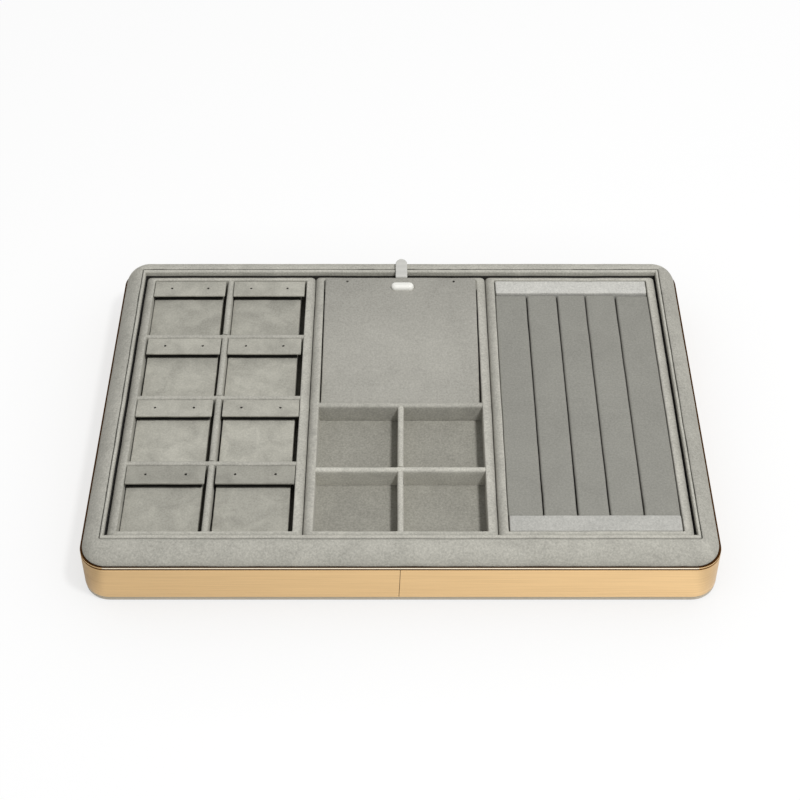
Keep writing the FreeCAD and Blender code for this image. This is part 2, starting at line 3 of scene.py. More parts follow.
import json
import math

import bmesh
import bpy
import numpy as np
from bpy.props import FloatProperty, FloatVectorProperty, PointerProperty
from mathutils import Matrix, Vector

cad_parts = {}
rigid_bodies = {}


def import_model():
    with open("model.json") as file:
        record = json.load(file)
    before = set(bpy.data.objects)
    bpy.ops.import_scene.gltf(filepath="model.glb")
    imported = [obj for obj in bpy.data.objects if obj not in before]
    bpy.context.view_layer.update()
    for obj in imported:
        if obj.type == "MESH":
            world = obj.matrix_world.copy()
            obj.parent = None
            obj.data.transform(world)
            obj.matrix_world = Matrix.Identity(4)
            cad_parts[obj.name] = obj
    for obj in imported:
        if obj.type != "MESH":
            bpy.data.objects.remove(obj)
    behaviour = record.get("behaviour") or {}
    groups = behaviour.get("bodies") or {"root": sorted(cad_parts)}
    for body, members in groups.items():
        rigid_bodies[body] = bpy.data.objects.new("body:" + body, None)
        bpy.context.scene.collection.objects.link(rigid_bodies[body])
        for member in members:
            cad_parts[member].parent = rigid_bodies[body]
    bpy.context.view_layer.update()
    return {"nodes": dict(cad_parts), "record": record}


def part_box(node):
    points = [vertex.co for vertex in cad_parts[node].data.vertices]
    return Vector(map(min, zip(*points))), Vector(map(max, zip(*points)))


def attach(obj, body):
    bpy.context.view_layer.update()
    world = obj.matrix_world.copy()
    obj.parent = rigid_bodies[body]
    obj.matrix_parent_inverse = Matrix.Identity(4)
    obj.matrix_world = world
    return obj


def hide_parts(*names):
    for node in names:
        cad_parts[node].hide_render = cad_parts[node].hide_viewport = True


bl_info = {
    "name": "Jewelry Tray",
    "version": (1, 0, 0),
    "blender": (4, 5, 0),
    "location": "3D View > Sidebar > Tray",
    "description": "Suede, brushed metal and foam pieces of a jewelry tray with lift-out inserts",
    "category": "Add Mesh",
}

for leftover in list(bpy.data.objects):
    bpy.data.objects.remove(leftover)
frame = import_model()

MM = 0.001
RECORD = frame["record"]
BODY_OF = {node: body for body, nodes in RECORD["behaviour"]["bodies"].items() for node in nodes}
SLOT_OF = {part["node"]: part["material_slot"] for part in RECORD["subparts"]}

EARRING_CARDS = sorted(node for node in BODY_OF if node.startswith("earring_card_"))
RING_ROLLS = sorted(node for node in BODY_OF if node.startswith("ring_roll_"))
INSERT_BOXES = ("earring_box", "pendant_box", "ring_box")
RAW_NODES = ("rail_front", "rail_back", "rail_left", "rail_right", "riser_board")
LINED_NODES = ("ring_bed_board", "board_rest_front", "board_rest_back")

# How much lighter or darker a piece looks: the rim, strips, pads and bars by whether their nap is brushed
# towards or away from the front, and the shares marked below by painted light and shade
RIM_LIE = {"front": -0.03, "back": 0.08, "left": -0.06, "right": -0.13}
STRIP_LIE = {"1": 0.0, "2": 0.0, "3": 0.0, "4": -0.24}
PAD_LIE = {"1": -0.08, "2": 0.0, "3": 0.06, "4": -0.08}
BAR_LIE = {"ring_bar_front": -0.21, "ring_bar_back": 0.0}
# Painted light and shade on the dividers: the compartment dividers lighter and the pendant cross wall darker,
# for how light falls on their faces
DIVIDER_PAINTED_LIGHT = {
    "pendant_cross_wall": -0.06, "compartment_divider_long": 0.18, "compartment_divider_cross": 0.22}
# Painted light and shade on the insert walls' tops: lighter at the inner edge, darker at the outer one and on
# the left walls, which face away from the light
WALL_TOP_PAINTED_LIGHT = {"inside": 0.15, "outside": -0.12}
LEFT_WALL_PAINTED_SHADE = {"earring_box": -0.16, "pendant_box": -0.07, "ring_box": -0.1}
# Painted shade on the earring box's floor, in the narrow gaps beside the cards' pads
BOX_FLOOR_PAINTED_SHADE = {"earring_box": -0.5, "pendant_box": 0.0, "ring_box": 0.0}
# Of these, the second is painted shade down the rim's inner seam, and the third darkens the pendant board
# towards its back
BEAD_LIE, SEAM_PAINTED_SHADE, BOARD_BACK_DARKENING, TAB_LIE, RETAINING_BAR_LIE = 0.1, -0.7, -0.14, -0.2, 0.25
# Painted shade inside the pin and chain holes
HOLE_PAINTED_SHADE = -0.9
# How far the seams between the rolls stray from an even spacing, from left to right, in millimetres
SEAM_STRAY = (0.6, 0.4, -1.0, -1.2)

# Slack where places are compared, a gap too small to see, the rounding of an edge that looks sharp, and the
# turn from which two faces meet in a sharp edge
SPECK, HAIR, SHARP_EDGE, SHARP_TURN = 0.001*MM, 0.05*MM, 0.2*MM, math.radians(50)
# Pierced holes: reach of the finer grid round one in radii and rows in it, depth in thicknesses of what it
# goes through, and share of its diameter painted dark as shade in the hole
HOLE_REACH, HOLE_ROWS, HOLE_DEPTH, HOLE_SHADE_SHARE = 1.4, 17, 0.8, 0.45


def box(node):
    """A node's lowest and highest corner as arrays."""
    low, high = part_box(node)
    return np.array(low), np.array(high)


def linear(code):
    """Linear colour with alpha from an sRGB hex code such as #A0B0C0."""
    levels = np.array([int(code[i:i + 2], 16) for i in (1, 3, 5)])/255
    flat = np.where(levels <= 0.04045, levels/12.92, ((levels + 0.055)/1.055)**2.4)
    return (*flat.tolist(), 1.0)


def number(label, text, default, **more):
    """A number that a user may set."""
    return FloatProperty(name=label, description=text, default=default, **more)


def length(label, text, millimetres):
    """A length that a user may set, given in millimetres."""
    return number(label, text, millimetres*MM, unit="LENGTH", precision=5)


def colour(label, text, code):
    """A colour that a user may set, given as an sRGB hex code."""
    return FloatVectorProperty(
        name=label, description=text, default=linear(code), size=4, subtype="COLOR", min=0, max=1)


class TrayShapes(bpy.types.PropertyGroup):
    """Sizes of the dressed pieces that the frame's boxes don't give."""

    nap_wander: length("Nap wander", "How far glued suede wanders from a true surface", 0.10)
    grid_step: length("Grid step", "Spacing of the points on long runs", 3.0)
    band_thickness: length("Band thickness", "Thickness of the metal strip", 1.5)
    band_corner: length("Band corner", "Outside corner radius of the metal strip", 15.2)
    band_edge: length("Band edge", "Rounding of the strip's long edges", 0.3)
    band_lip: length("Band lip", "Height of the lip above the strip's groove", 0.9)
    band_drop: length("Band drop", "How far the strip's top lies below its frame's", 0.6)
    groove_height: length("Groove height", "Height of the groove under the strip's lip", 1.0)
    groove_depth: length("Groove depth", "Depth of the groove under the strip's lip", 0.7)
    band_seam: length("Band seam", "Width of the butt joint at the front", 0.3)
    band_lean: length("Band lean", "How far the butt joint leans from bottom to top", 0.9)
    rim_inset: length("Rim inset", "How far the wrapped rim stands inside its board's edge", 0.5)
    rim_side: length("Rim side", "How much further in the wrapped rim stands at the left and right", 0.5)
    rim_gap: length("Rim gap", "Width of the seam between the rim and the well's bead", 0.3)
    rim_skirt: length("Rim skirt", "How far the wrap hangs below the rim's board", 1.6)
    rim_fullness: number("Rim fullness", "Exponent of the rim's dome, where 2 is an ellipse", 1.8)
    rim_foot: length("Rim foot", "Upright part of the rim's outside, at its foot", 0.6)
    rim_flat: length("Rim flat", "Level part of the rim's top, beside its inner edge", 0.6)
    rim_edge: length("Rim edge", "Rounding of the rim's inner edge", 0.9)
    rim_inner_corner: length("Rim inner corner", "Corner radius of the rim's opening", 0.7)
    liner_round: length("Liner round", "Most rounding of the liner's top edges", 1.1)
    insert_corner: length("Insert corner", "Upright outside corners of the inserts", 2.0)
    wall_inside: length("Wall inside", "Rounding of the insert walls' inner top edges", 0.7)
    wall_outside: length("Wall outside", "Rounding of the insert walls' outer top edges", 2.7)
    fold: length("Fold", "Rounding where lining turns from floor to wall", 0.5)
    divider_round: length("Divider round", "Rounding of the dividers' top edges", 1.6)
    card_thickness: length("Card thickness", "Thickness of the folded cards", 1.3)
    card_bend: length("Card bend", "Outside radius of the cards' folds", 0.9)
    card_edge: length("Card edge", "Rounding of the cards' wrapped edges", 0.45)
    pad_thickness: length("Pad thickness", "Thickness of a card's foot pad", 5.5)
    pad_crown: length("Pad crown", "How far a foot pad's foam swells above its board", 1.3)
    pad_left: length("Pad left", "How far a foot pad stops short of its strip on the left", 0.15)
    pad_right: length("Pad right", "How far a left-hand foot pad stops short of its strip on the right", 1.5)
    pad_far: length("Pad far", "How far a right-hand foot pad stops short of its strip on the right", 2.5)
    pad_round: length("Pad round", "Rounding of a foot pad's front edge", 1.0)
    strip_depth: length("Strip depth", "Depth of a card's top strip", 13.1)
    pin_hole: length("Pin hole", "Diameter of a pin hole", 1.6)
    pin_pitch: length("Pin pitch", "Distance between a pair's pin holes", 22.5)
    board_thickness: length("Board thickness", "Thickness of the pendant board", 3.0)
    board_edge: length("Board edge", "Rounding of the pendant board's edges", 0.8)
    chain_hole: length("Chain hole", "Diameter of a chain hole", 1.6)
    chain_span: length("Chain span", "Distance between the chain holes", 66.0)
    chain_inset: length("Chain inset", "Distance of the chain holes from the board's back edge", 3.2)
    slot_inset: length("Slot inset", "Distance of the slot's middle from the board's back edge", 7.7)
    slot_aside: length("Slot aside", "Distance of the slot's middle to the right of the board's", 1.2)
    slot_length: length("Slot length", "Length of the slot in the pendant board", 14.3)
    slot_width: length("Slot width", "Width of the slot in the pendant board", 5.9)
    bar_proud: length("Bar proud", "How far the retaining bar stands above the board", 2.4)
    tab_width: length("Tab width", "Width of the pull tab", 7.2)
    tab_aside: length("Tab aside", "Distance of the tab to the right of the board's middle", 0.6)
    tab_bend: length("Tab bend", "Radius in which the tab turns back over the rim", 0.9)
    tab_curl: length("Tab curl", "How far the tab's end lifts off its plane", 0.6)
    tab_thickness: length("Tab thickness", "Thickness of the pull tab", 0.8)
    tab_reach: length("Tab reach", "Distance of the tab's end from the board's back edge", 14.4)
    end_bar_round: length("End bar round", "Rounding of the ring insert's end bars", 0.8)
    roll_shoulder: length("Roll shoulder", "Shoulder radius of the foam rolls", 1.5)
    roll_wall_side: length("Roll wall side", "Shoulder radius of a foam roll beside a wall", 0.7)
    roll_crown: length("Roll crown", "How far the foam swells a roll between its shoulders", 0.7)
    roll_draw: length("Roll draw", "How far a roll's sides draw in at the foot", 0.7)
    roll_end: length("Roll end", "Rounding of a roll's ends", 1.2)
    roll_foot: length("Roll foot", "Height over which a roll's cover is glued down", 1.0)


class TrayFinishes(bpy.types.PropertyGroup):
    """Colours of the finishes."""

    suede: colour("Suede", "Warm grey microfibre on rim, walls and dividers", "#AEACA3")
    lining: colour("Lining", "Smoother microfibre on the insert floors", "#939188")
    card: colour("Card suede", "Microfibre on the earring cards", "#ABA99F")
    board: colour("Board suede", "Smooth microfibre on the pendant board", "#A5A39B")
    velvet: colour("Roll velvet", "Velvet on the foam rolls", "#8E8D86")
    bar: colour("Bar velvet", "Pale velvet on the end bars", "#C5C4BE")
    ribbon: colour("Ribbon", "Pale satin of the tab and the retaining bar", "#DAD9D3")
    gold: colour("Gold", "Anodised gold of the metal band", "#E6C390")
    # The groove's and the top edge's colours are painted shade, in the groove and under the rim's overhang
    groove: colour("Groove", "Dull metal in the band's groove", "#845A28")
    edge: colour("Edge", "Sawn metal of the band's top edge", "#43290F")
    # The lip's colour is a painted highlight, paler than the gold
    lip: colour("Lip", "Burnished metal of the band's lip", "#FFF2DA")
    # The hidden lining's colour is painted shade for the deep, narrow gaps in the cards' folds and down the
    # well
    hidden: colour("Hidden lining", "Dark paper in the folds of the cards and down the well", "#2E2C28")
    base: colour("Base cloth", "Lining cloth on the base plate", "#C8C0B0")
    fibreboard: colour("Fibreboard", "Raw board of the hidden core", "#A98A63")


class TrayStage(bpy.types.PropertyGroup):
    """Camera, lights and floor."""

    camera_back: length("Camera back", "Distance of the camera in front of the tray's middle", 690.3)
    camera_up: length("Camera up", "Height of the camera above the floor", 773.9)
    camera_aside: length("Camera aside", "Distance of the camera to the left of the tray's middle", 0.3)
    camera_pitch: number("Pitch", "How far the camera looks down", math.radians(41), subtype="ANGLE")
    focal_share: number("Focal length", "Focal length in widths of the image", 2.1613)
    lens_shift: number("Lens shift", "Rise of the lens in widths of the image", -0.2289)
    key_strength: number("Key", "Light of the key lamp on a level face", 0.66)
    fill_strength: number("Fill", "Light from all round", 0.38)
    key_aside: number("Key aside", "Lean of the key lamp to the right, as a slope", 0.35)
    key_forward: number("Key forward", "Lean of the key lamp to the front, as a slope", 0.28)
    key_height: length("Key height", "Height of the key lamp", 1700.0)
    key_size: length("Key size", "Diameter of the key lamp", 260.0)
    floor: colour("Floor", "Pale floor as it lights the tray", "#F2F2F0")
    floor_seen: colour("Floor seen", "Share of the floor that takes shadows where it is seen", "#707070")
    floor_glow: number("Floor glow", "Lift of the floor towards white", 0.835)
    floor_drift: number("Floor drift", "How much the mirrored floor darkens to the left", 0.3)
    floor_contact: number("Floor contact", "Share of the lift that the floor loses close to things", 0.3)


def shapes():
    """The shape settings of the scene."""
    return bpy.context.scene.tray_shapes


def colours():
    """The colour settings of the scene."""
    return bpy.context.scene.tray_finishes


# Points


def rounded_polygon(corners, radii, steps=6):
    """Closed outline whose corners are arcs: each arc turns the incoming side into the outgoing one about a
    centre that lies one radius to the side, starting radius*tan(turn/2) before the corner."""
    corners, radii = np.array(corners, float), np.array(radii, float)
    onward = np.roll(corners, -1, axis=0) - corners
    leaving = onward/np.linalg.norm(onward, axis=1, keepdims=True)
    coming = np.roll(leaving, 1, axis=0)
    turn = np.arctan2(coming[:, 0]*leaving[:, 1] - coming[:, 1]*leaving[:, 0], (coming*leaving).sum(axis=1))
    start = corners - coming*(radii*np.tan(np.abs(turn)/2))[:, None]
    aside = np.stack([-coming[:, 1], coming[:, 0]], axis=1)*(radii*np.sign(turn))[:, None]
    angle = turn[:, None]*np.linspace(0, 1, steps + 1)[None]
    cosine, sine = np.cos(angle), np.sin(angle)
    arm = -aside[:, None]
    swung = np.stack([arm[..., 0]*cosine - arm[..., 1]*sine, arm[..., 0]*sine + arm[..., 1]*cosine], axis=-1)
    return ((start + aside)[:, None] + swung).reshape(-1, 2)


def densify(outline, spacing):
    """The closed outline with points added evenly on every side longer than the spacing."""
    following = np.roll(outline, -1, axis=0)
    count = np.maximum(1, np.ceil(np.linalg.norm(following - outline, axis=1)/spacing)).astype(int)
    side = np.repeat(np.arange(len(outline)), count)
    step = np.arange(count.sum()) - np.repeat(np.cumsum(count) - count, count)
    share = (step/count[side])[:, None]
    return outline[side]*(1 - share) + following[side]*share


def block_section(low, high, foot_round, top_round, spacing):
    """Outline of a bar's section between two corners, with one rounding at its foot and one at its top."""
    (left, foot), (right, top) = low, high
    corners = (left, foot), (right, foot), (right, top), (left, top)
    return densify(rounded_polygon(corners, (foot_round, foot_round, top_round, top_round)), spacing)


def midpoints(outline):
    """The middle of each side of a closed outline."""
    return (outline + np.roll(outline, -1, axis=0))/2


def outward(outline):
    """Unit normals of a closed anticlockwise outline, square to the chord of each point's neighbours."""
    chord = np.roll(outline, -1, axis=0) - np.roll(outline, 1, axis=0)
    normal = np.stack([chord[:, 1], -chord[:, 0]], axis=1)
    return normal/np.linalg.norm(normal, axis=1, keepdims=True)


def wander(points, amount, reach, seed=7):
    """Points moved by a smooth wave field: in each direction twice the mean of twelve plane waves of about
    the given reach, so that points at one place move together and seams stay closed."""
    waves = 12
    random = np.random.default_rng(seed)
    direction = random.normal(size=(3, waves, 3))*(2*math.pi/reach)
    phase = random.uniform(0, 2*math.pi, size=(3, waves))
    shift = np.sin(np.einsum("...a,cwa->...cw", points, direction) + phase).mean(axis=-1)
    return points + amount*2*shift


def soften(points):
    """Points of a suede-wrapped piece: true to the board under it, with the glue's slow wave and, at about a
    third of its height, the nap's quick one."""
    amount = shapes().nap_wander
    slow_reach, quick_reach, quick_share = 45*MM, 9*MM, 0.35
    return wander(wander(points, amount, slow_reach), amount*quick_share, quick_reach, seed=11)


def ease(share):
    """A smooth step from nought to one: 3*share^2 - 2*share^3, with the share kept between them."""
    share = np.clip(share, 0, 1)
    return share*share*(3 - 2*share)


def dimple(points, centre, radius, depth):
    """Points pressed down in the third direction: the full depth inside half the radius, easing to none at
    it."""
    distance = np.linalg.norm(points[..., :2] - np.array(centre), axis=-1)/radius
    pressed = points.copy()
    pressed[..., 2] -= depth*ease(2*(1 - distance))
    return pressed


def from_holes(points, holes, row):
    """How far each point lies, seen from above, from the nearest of the holes in a row."""
    return np.min([np.hypot(points[:, 0] - hole, points[:, 1] - row) for hole in holes], axis=0)


def quarter(count):
    """Evenly spaced angles from nought to a right angle."""
    return np.linspace(0, math.pi/2, count)


def stations(low, high, spacing, end_round, marks=()):
    """Places along a bar with the inset of its section at each: quarter circles at both ends, even steps
    between, and extra places round each mark, as far as the reach that is given with it."""
    turn_in, digits = end_round*(1 - np.cos(quarter(5))), 7
    inner = np.linspace(low + end_round, high - end_round, max(2, round((high - low)/spacing)))
    extra = [mark + reach*np.linspace(-1, 1, HOLE_ROWS) for mark, reach in marks]
    along = np.unique(np.round(np.concatenate([low + turn_in, inner, high - turn_in, *extra]), digits))
    depth = np.clip(1 - np.minimum(along - low, high - along)/end_round, 0, 1)
    return along, end_round*(1 - np.sqrt(1 - depth*depth))


def with_rows(outline, rows, level, before):
    """The outline with points added on its top, at the given rows and level, where it first passes a place on
    its way to the front."""
    top = int(np.argmax((outline[:, 1] > level - SPECK) & (outline[:, 0] < before)))
    return np.insert(outline, [top]*len(rows), np.stack([rows, np.full(len(rows), level)], axis=1), axis=0)


def carried(profile, along, inset):
    """Section carried along a line: row i holds the section at place i, drawn in by its inset along its
    normals. Each point is (along, across, up)."""
    rows = profile[None] - inset[:, None, None]*outward(profile)[None]
    return np.concatenate([np.broadcast_to(along[:, None, None], rows.shape[:2] + (1,)), rows], axis=-1)


def loop_form(across_steps, along_steps, corner_steps):
    """Unit form of a rounded rectangle, anticlockwise from the middle of its front: shares of the corner
    centres and unit normals. A loop of half sizes a, b and radius r is share*(a - r, b - r) + r*normal."""

    def run(start, end, turn, count):
        step = np.linspace(0, 1, count, endpoint=False)[:, None]
        share = np.array(start)*(1 - step) + np.array(end)*step
        angle = np.radians(turn[0] + (turn[1] - turn[0])*step[:, 0])
        return share, np.stack([np.cos(angle), np.sin(angle)], axis=1)

    half = across_steps//2
    runs = (
        run((0, -1), (1, -1), (-90, -90), half),
        run((1, -1), (1, -1), (-90, 0), corner_steps),
        run((1, -1), (1, 1), (0, 0), along_steps),
        run((1, 1), (1, 1), (0, 90), corner_steps),
        run((1, 1), (-1, 1), (90, 90), 2*half),
        run((-1, 1), (-1, 1), (90, 180), corner_steps),
        run((-1, 1), (-1, -1), (180, 180), along_steps),
        run((-1, -1), (-1, -1), (180, 270), corner_steps),
        run((-1, -1), (0, -1), (270, 270), half),
    )
    return np.concatenate([r[0] for r in runs]), np.concatenate([r[1] for r in runs])


def loops(form, half_x, half_y, radius, height):
    """Stack of rounded rectangles, one row of points for each set of half sizes, corner radius and height."""
    share, normal = form
    half = np.stack([half_x, half_y], axis=-1)[:, None]
    turn = np.asarray(radius)[:, None, None]
    flat = share[None]*(half - turn) + turn*normal[None]
    level = np.broadcast_to(np.asarray(height)[:, None, None], flat.shape[:2] + (1,))
    return np.concatenate([flat, level], axis=-1)


# Meshes


def grid_mesh(name, grid, wrap_rows=False, wrap_columns=True, caps=False, patches=0):
    """Mesh of a grid of points: a quad between each four neighbours, closed round where it wraps, with the
    first and last rows filled where it has caps. Patches number the finish of each quad, by row and column.
    Points that coincide are merged and faces turned outwards."""
    rows, columns = grid.shape[:2]
    i = np.arange(rows if wrap_rows else rows - 1)[:, None]
    j = np.arange(columns if wrap_columns else columns - 1)[None]
    below, beside = (i + 1) % rows, (j + 1) % columns
    quads = np.stack([i*columns + j, i*columns + beside, below*columns + beside, below*columns + j], axis=-1)
    faces = quads.reshape(-1, 4).tolist()
    if caps:
        faces.append(list(range(columns - 1, -1, -1)))
        faces.append(list(range((rows - 1)*columns, rows*columns)))
    mesh = bpy.data.meshes.new(name)
    mesh.from_pydata(grid.reshape(-1, 3).tolist(), [], faces)
    of_quad = np.broadcast_to(patches, quads.shape[:2]).ravel()
    of_face = np.concatenate([of_quad, np.zeros(len(faces) - len(of_quad))]).astype(np.int32)
    mesh.polygons.foreach_set("material_index", of_face)
    work = bmesh.new()
    work.from_mesh(mesh)
    bmesh.ops.remove_doubles(work, verts=work.verts, dist=SPECK)
    bmesh.ops.recalc_face_normals(work, faces=work.faces)
    work.to_mesh(mesh)
    work.free()
    mesh.shade_smooth()
    mesh.set_sharp_from_angle(angle=SHARP_TURN)
    return mesh


def points_of(mesh):
    """The points of a mesh as an array."""
    points = np.empty(3*len(mesh.vertices), np.float32)
    mesh.vertices.foreach_get("co", points)
    return points.reshape(-1, 3)


def puff(meshes, foot, cap):
    """Covers swollen over foam by cloth simulation. Each is glued down below the height of its foot, and the
    foam presses outwards like air for twenty frames without gravity. Then each point's move is scaled by one
    share, so that the furthest one moves by the cap."""
    scene, pressure, frames = bpy.context.scene, 4.0, 20
    covers = [bpy.data.objects.new(mesh.name, mesh) for mesh in meshes]
    for cover in covers:
        scene.collection.objects.link(cover)
        glued = cover.vertex_groups.new(name="glued")
        glued.add(np.flatnonzero(points_of(cover.data)[:, 2] < foot).tolist(), 1.0, "REPLACE")
        cloth = cover.modifiers.new("cover", "CLOTH").settings
        cloth.use_pressure = True
        cloth.uniform_pressure_force = pressure
        cloth.vertex_group_mass = glued.name
        cloth.effector_weights.gravity = 0.0
    for moment in range(1, frames + 1):
        scene.frame_set(moment)
    graph = bpy.context.evaluated_depsgraph_get()
    moves = [points_of(cover.evaluated_get(graph).data) - points_of(cover.data) for cover in covers]
    share = cap/max(np.linalg.norm(move, axis=1).max() for move in moves)
    for cover, mesh, move in zip(covers, meshes, moves):
        bpy.data.objects.remove(cover)
        mesh.vertices.foreach_set("co", (points_of(mesh) + share*move).ravel())
        mesh.update()
    scene.frame_set(1)


def lay_nap_and_light(mesh, lie):
    """Store on each point the share by which it looks lighter or darker: partly how its nap is brushed,
    partly painted light and shade. It is one number, or a function of the points."""
    shares = lie(points_of(mesh)) if callable(lie) else np.full(len(mesh.vertices), lie)
    layer = mesh.attributes.new("nap_lie", "FLOAT", "POINT")
    layer.data.foreach_set("value", shares.astype(np.float32))


def stand_in(name, mesh, *nodes, more_finishes=(), lie=0.0):
    """Object that stands for nodes of one body: it rides on that body and takes the first node's slot and
    finish."""
    lay_nap_and_light(mesh, lie)
    piece = bpy.data.objects.new(name, mesh)
    bpy.context.scene.collection.objects.link(piece)
    slot = SLOT_OF[nodes[0]]
    for finish_name in (slot, *more_finishes):
        piece.data.materials.append(finish(finish_name))
    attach(piece, BODY_OF[nodes[0]])
    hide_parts(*nodes)
    return piece


# Finishes


def give(tree, node, inputs):
    """Set each input of a node to a value, or link it to a socket."""
    for socket, given in inputs.items():
        if isinstance(given, bpy.types.NodeSocket):
            tree.links.new(given, node.inputs[socket])
        else:
            node.inputs[socket].default_value = given


def add(tree, kind, inputs=None, **settings):
    """A node with its settings, and with each input set to a value or linked to a socket."""
    node = tree.nodes.new(kind)
    for key, setting in settings.items():
        setattr(node, key, setting)
    give(tree, node, inputs or {})
    return node


def new_finish(name):
    """An empty node material with its output, its surface shader and Object coordinates."""
    material = bpy.data.materials.new(name)
    material.use_nodes = True
    tree = material.node_tree
    tree.nodes.clear()
    shader = add(tree, "ShaderNodeBsdfPrincipled")
    add(tree, "ShaderNodeOutputMaterial", {"Surface": shader.outputs["BSDF"]})
    place = add(tree, "ShaderNodeTexCoord").outputs["Object"]
    return material, tree, shader, place


def shade(code, factor):
    """A colour made lighter or darker by a factor."""
    return (*[min(1.0, channel*factor) for channel in code[:3]], 1.0)


def toned_by_nap_and_light(tree, tone):
    """The tone made lighter or darker by the share that a piece stores on its points: partly how its nap is
    brushed, partly painted light and shade.
    """
    lie = add(tree, "ShaderNodeAttribute", attribute_name="nap_lie")
    share = add(tree, "ShaderNodeMath", {0: lie.outputs["Fac"], 1: 1.0})
    return add(tree, "ShaderNodeVectorMath", {
        0: tone, "Scale": share.outputs["Value"]}, operation="SCALE").outputs["Vector"]


# Each microfibre and velvet: its name and colour, size and contrast of its nap, size and contrast of its
# clouds, strength of its bloom, and depth of its relief. Sizes are in millimetres.
SUEDES = {
    # Rim and walls: the coarsest nap on the tray, with clouds from handling
    "suede_wrap": ("microfibre_wrap", "suede", 1.1, 0.48, 16, 0.16, 0.25, 0.3),
    # Floors: pressed flat under the walls, and therefore finer and darker
    "lining_suede": ("microfibre_lining", "lining", 1.1, 0.46, 22, 0.12, 0.1, 0.15),
    # Cards: broad light clouds left by fingers
    "card_suede": ("microfibre_card", "card", 1.0, 0.32, 13, 0.26, 0.15, 0.25),
    # Pendant board: shaved close, so that the nap hardly shows
    "board_suede": ("microfibre_board", "board", 1.1, 0.36, 30, 0.1, 0.12, 0.12),
    # Rolls: velvet stroked one way, close and even
    "roll_velvet": ("velvet_roll", "velvet", 1.1, 0.3, 26, 0.08, 0.2, 0.12),
    # End bars: velvet stroked against its lie, which makes it pale
    "bar_velvet": ("velvet_bar", "bar", 1.0, 0.4, 18, 0.1, 0.2, 0.25),
}


def suede(name, tint, nap_mm, nap_contrast, cloud_mm, cloud_contrast, sheen, relief_mm):
    """Microfibre with a short raised nap: matt, with a fine fleck where fibres stand or lie, slow clouds
    where it was stroked, and a pale bloom where the eye meets it at a slant. Fibres are far finer than a
    pixel, so the fleck is drawn as coarse as the tufts that they gather in."""
    material, tree, shader, place = new_finish(name)
    code, dark, light, bloom = getattr(colours(), tint), 0.72, 1.28, 1.4
    nap = add(tree, "ShaderNodeTexNoise", {
        "Vector": place, "Scale": 1/(nap_mm*MM), "Detail": 3.0, "Roughness": 0.7})
    cloud = add(tree, "ShaderNodeTexNoise", {
        "Vector": place, "Scale": 1/(cloud_mm*MM), "Detail": 3.0, "Roughness": 0.55, "Distortion": 0.6})
    fleck = add(tree, "ShaderNodeMapRange", {
        "Value": nap.outputs["Fac"], "From Min": 0.25, "From Max": 0.75,
        "To Min": -nap_contrast, "To Max": nap_contrast})
    stroke = add(tree, "ShaderNodeMapRange", {
        "Value": cloud.outputs["Fac"], "From Min": 0.3, "From Max": 0.7,
        "To Min": 0.5 - cloud_contrast, "To Max": 0.5 + cloud_contrast})
    blend = add(tree, "ShaderNodeMath", {
        0: fleck.outputs["Result"], 1: stroke.outputs["Result"]}, use_clamp=True)
    mixed = add(tree, "ShaderNodeMix", {
        "Factor": blend.outputs["Value"], "A": shade(code, dark), "B": shade(code, light)}, data_type="RGBA")
    relief = add(tree, "ShaderNodeBump", {
        "Height": nap.outputs["Fac"], "Strength": 0.5, "Distance": relief_mm*MM})
    give(tree, shader, {
        "Base Color": toned_by_nap_and_light(tree, mixed.outputs["Result"]), "Normal": relief.outputs["Normal"],
        "Roughness": 0.95, "Specular IOR Level": 0.15, "Sheen Weight": sheen, "Sheen Roughness": 0.45,
        "Sheen Tint": shade(code, bloom)})
    return material


# Each mottled finish: its name and colour, size of its mottle in millimetres and detail in it, roughness and
# share of metal
MOTTLED = {
    # Aluminium in the band's groove and on its top edge under the rim: dark, uneven and dull, as painted
    # shade
    "groove_painted_shade": ("drawn_aluminium", "groove", 3.0, 3.0, 0.6, 1.0),
    "top_edge_painted_shade": ("sawn_aluminium", "edge", 3.0, 3.0, 0.6, 1.0),
    # A dark sheet of painted shade in the cards' folds and down the well where the suede ends: dull, with a
    # slight mottle
    "dark_paper": ("dark_paper", "hidden", 1.5, 4.0, 0.9, 0.0),
}


def mottled(name, tint, mottle_mm, detail, roughness, metal):
    """A dull finish that is darker in some places and lighter in others."""
    material, tree, shader, place = new_finish(name)
    code, dark, light = getattr(colours(), tint), 0.8, 1.2
    mottle = add(tree, "ShaderNodeTexNoise", {"Vector": place, "Scale": 1/(mottle_mm*MM), "Detail": detail})
    mixed = add(tree, "ShaderNodeMix", {
        "Factor": mottle.outputs["Fac"], "A": shade(code, dark), "B": shade(code, light)}, data_type="RGBA")
    give(tree, shader, {"Base Color": mixed.outputs["Result"], "Metallic": metal, "Roughness": roughness})
    return material


def satin_ribbon():
    """Woven satin: smooth and pale, with fine ribs across the ribbon and a soft gloss."""
    material, tree, shader, place = new_finish("satin_ribbon")
    code, dark, rib_mm, relief_mm = colours().ribbon, 0.93, 0.6, 0.05
    ribs = add(tree, "ShaderNodeTexWave", {
        "Vector": place, "Scale": 1/(rib_mm*MM*math.pi), "Distortion": 0.6, "Detail": 1.0},
        wave_type="BANDS", bands_direction="Z")
    mixed = add(tree, "ShaderNodeMix", {
        "Factor": ribs.outputs["Fac"], "A": shade(code, dark), "B": code}, data_type="RGBA")
    relief = add(tree, "ShaderNodeBump", {
        "Height": ribs.outputs["Fac"], "Strength": 0.3, "Distance": relief_mm*MM})
    give(tree, shader, {
        "Base Color": toned_by_nap_and_light(tree, mixed.outputs["Result"]), "Normal": relief.outputs["Normal"],
        "Roughness": 0.42, "Sheen Weight": 0.2})
    return material


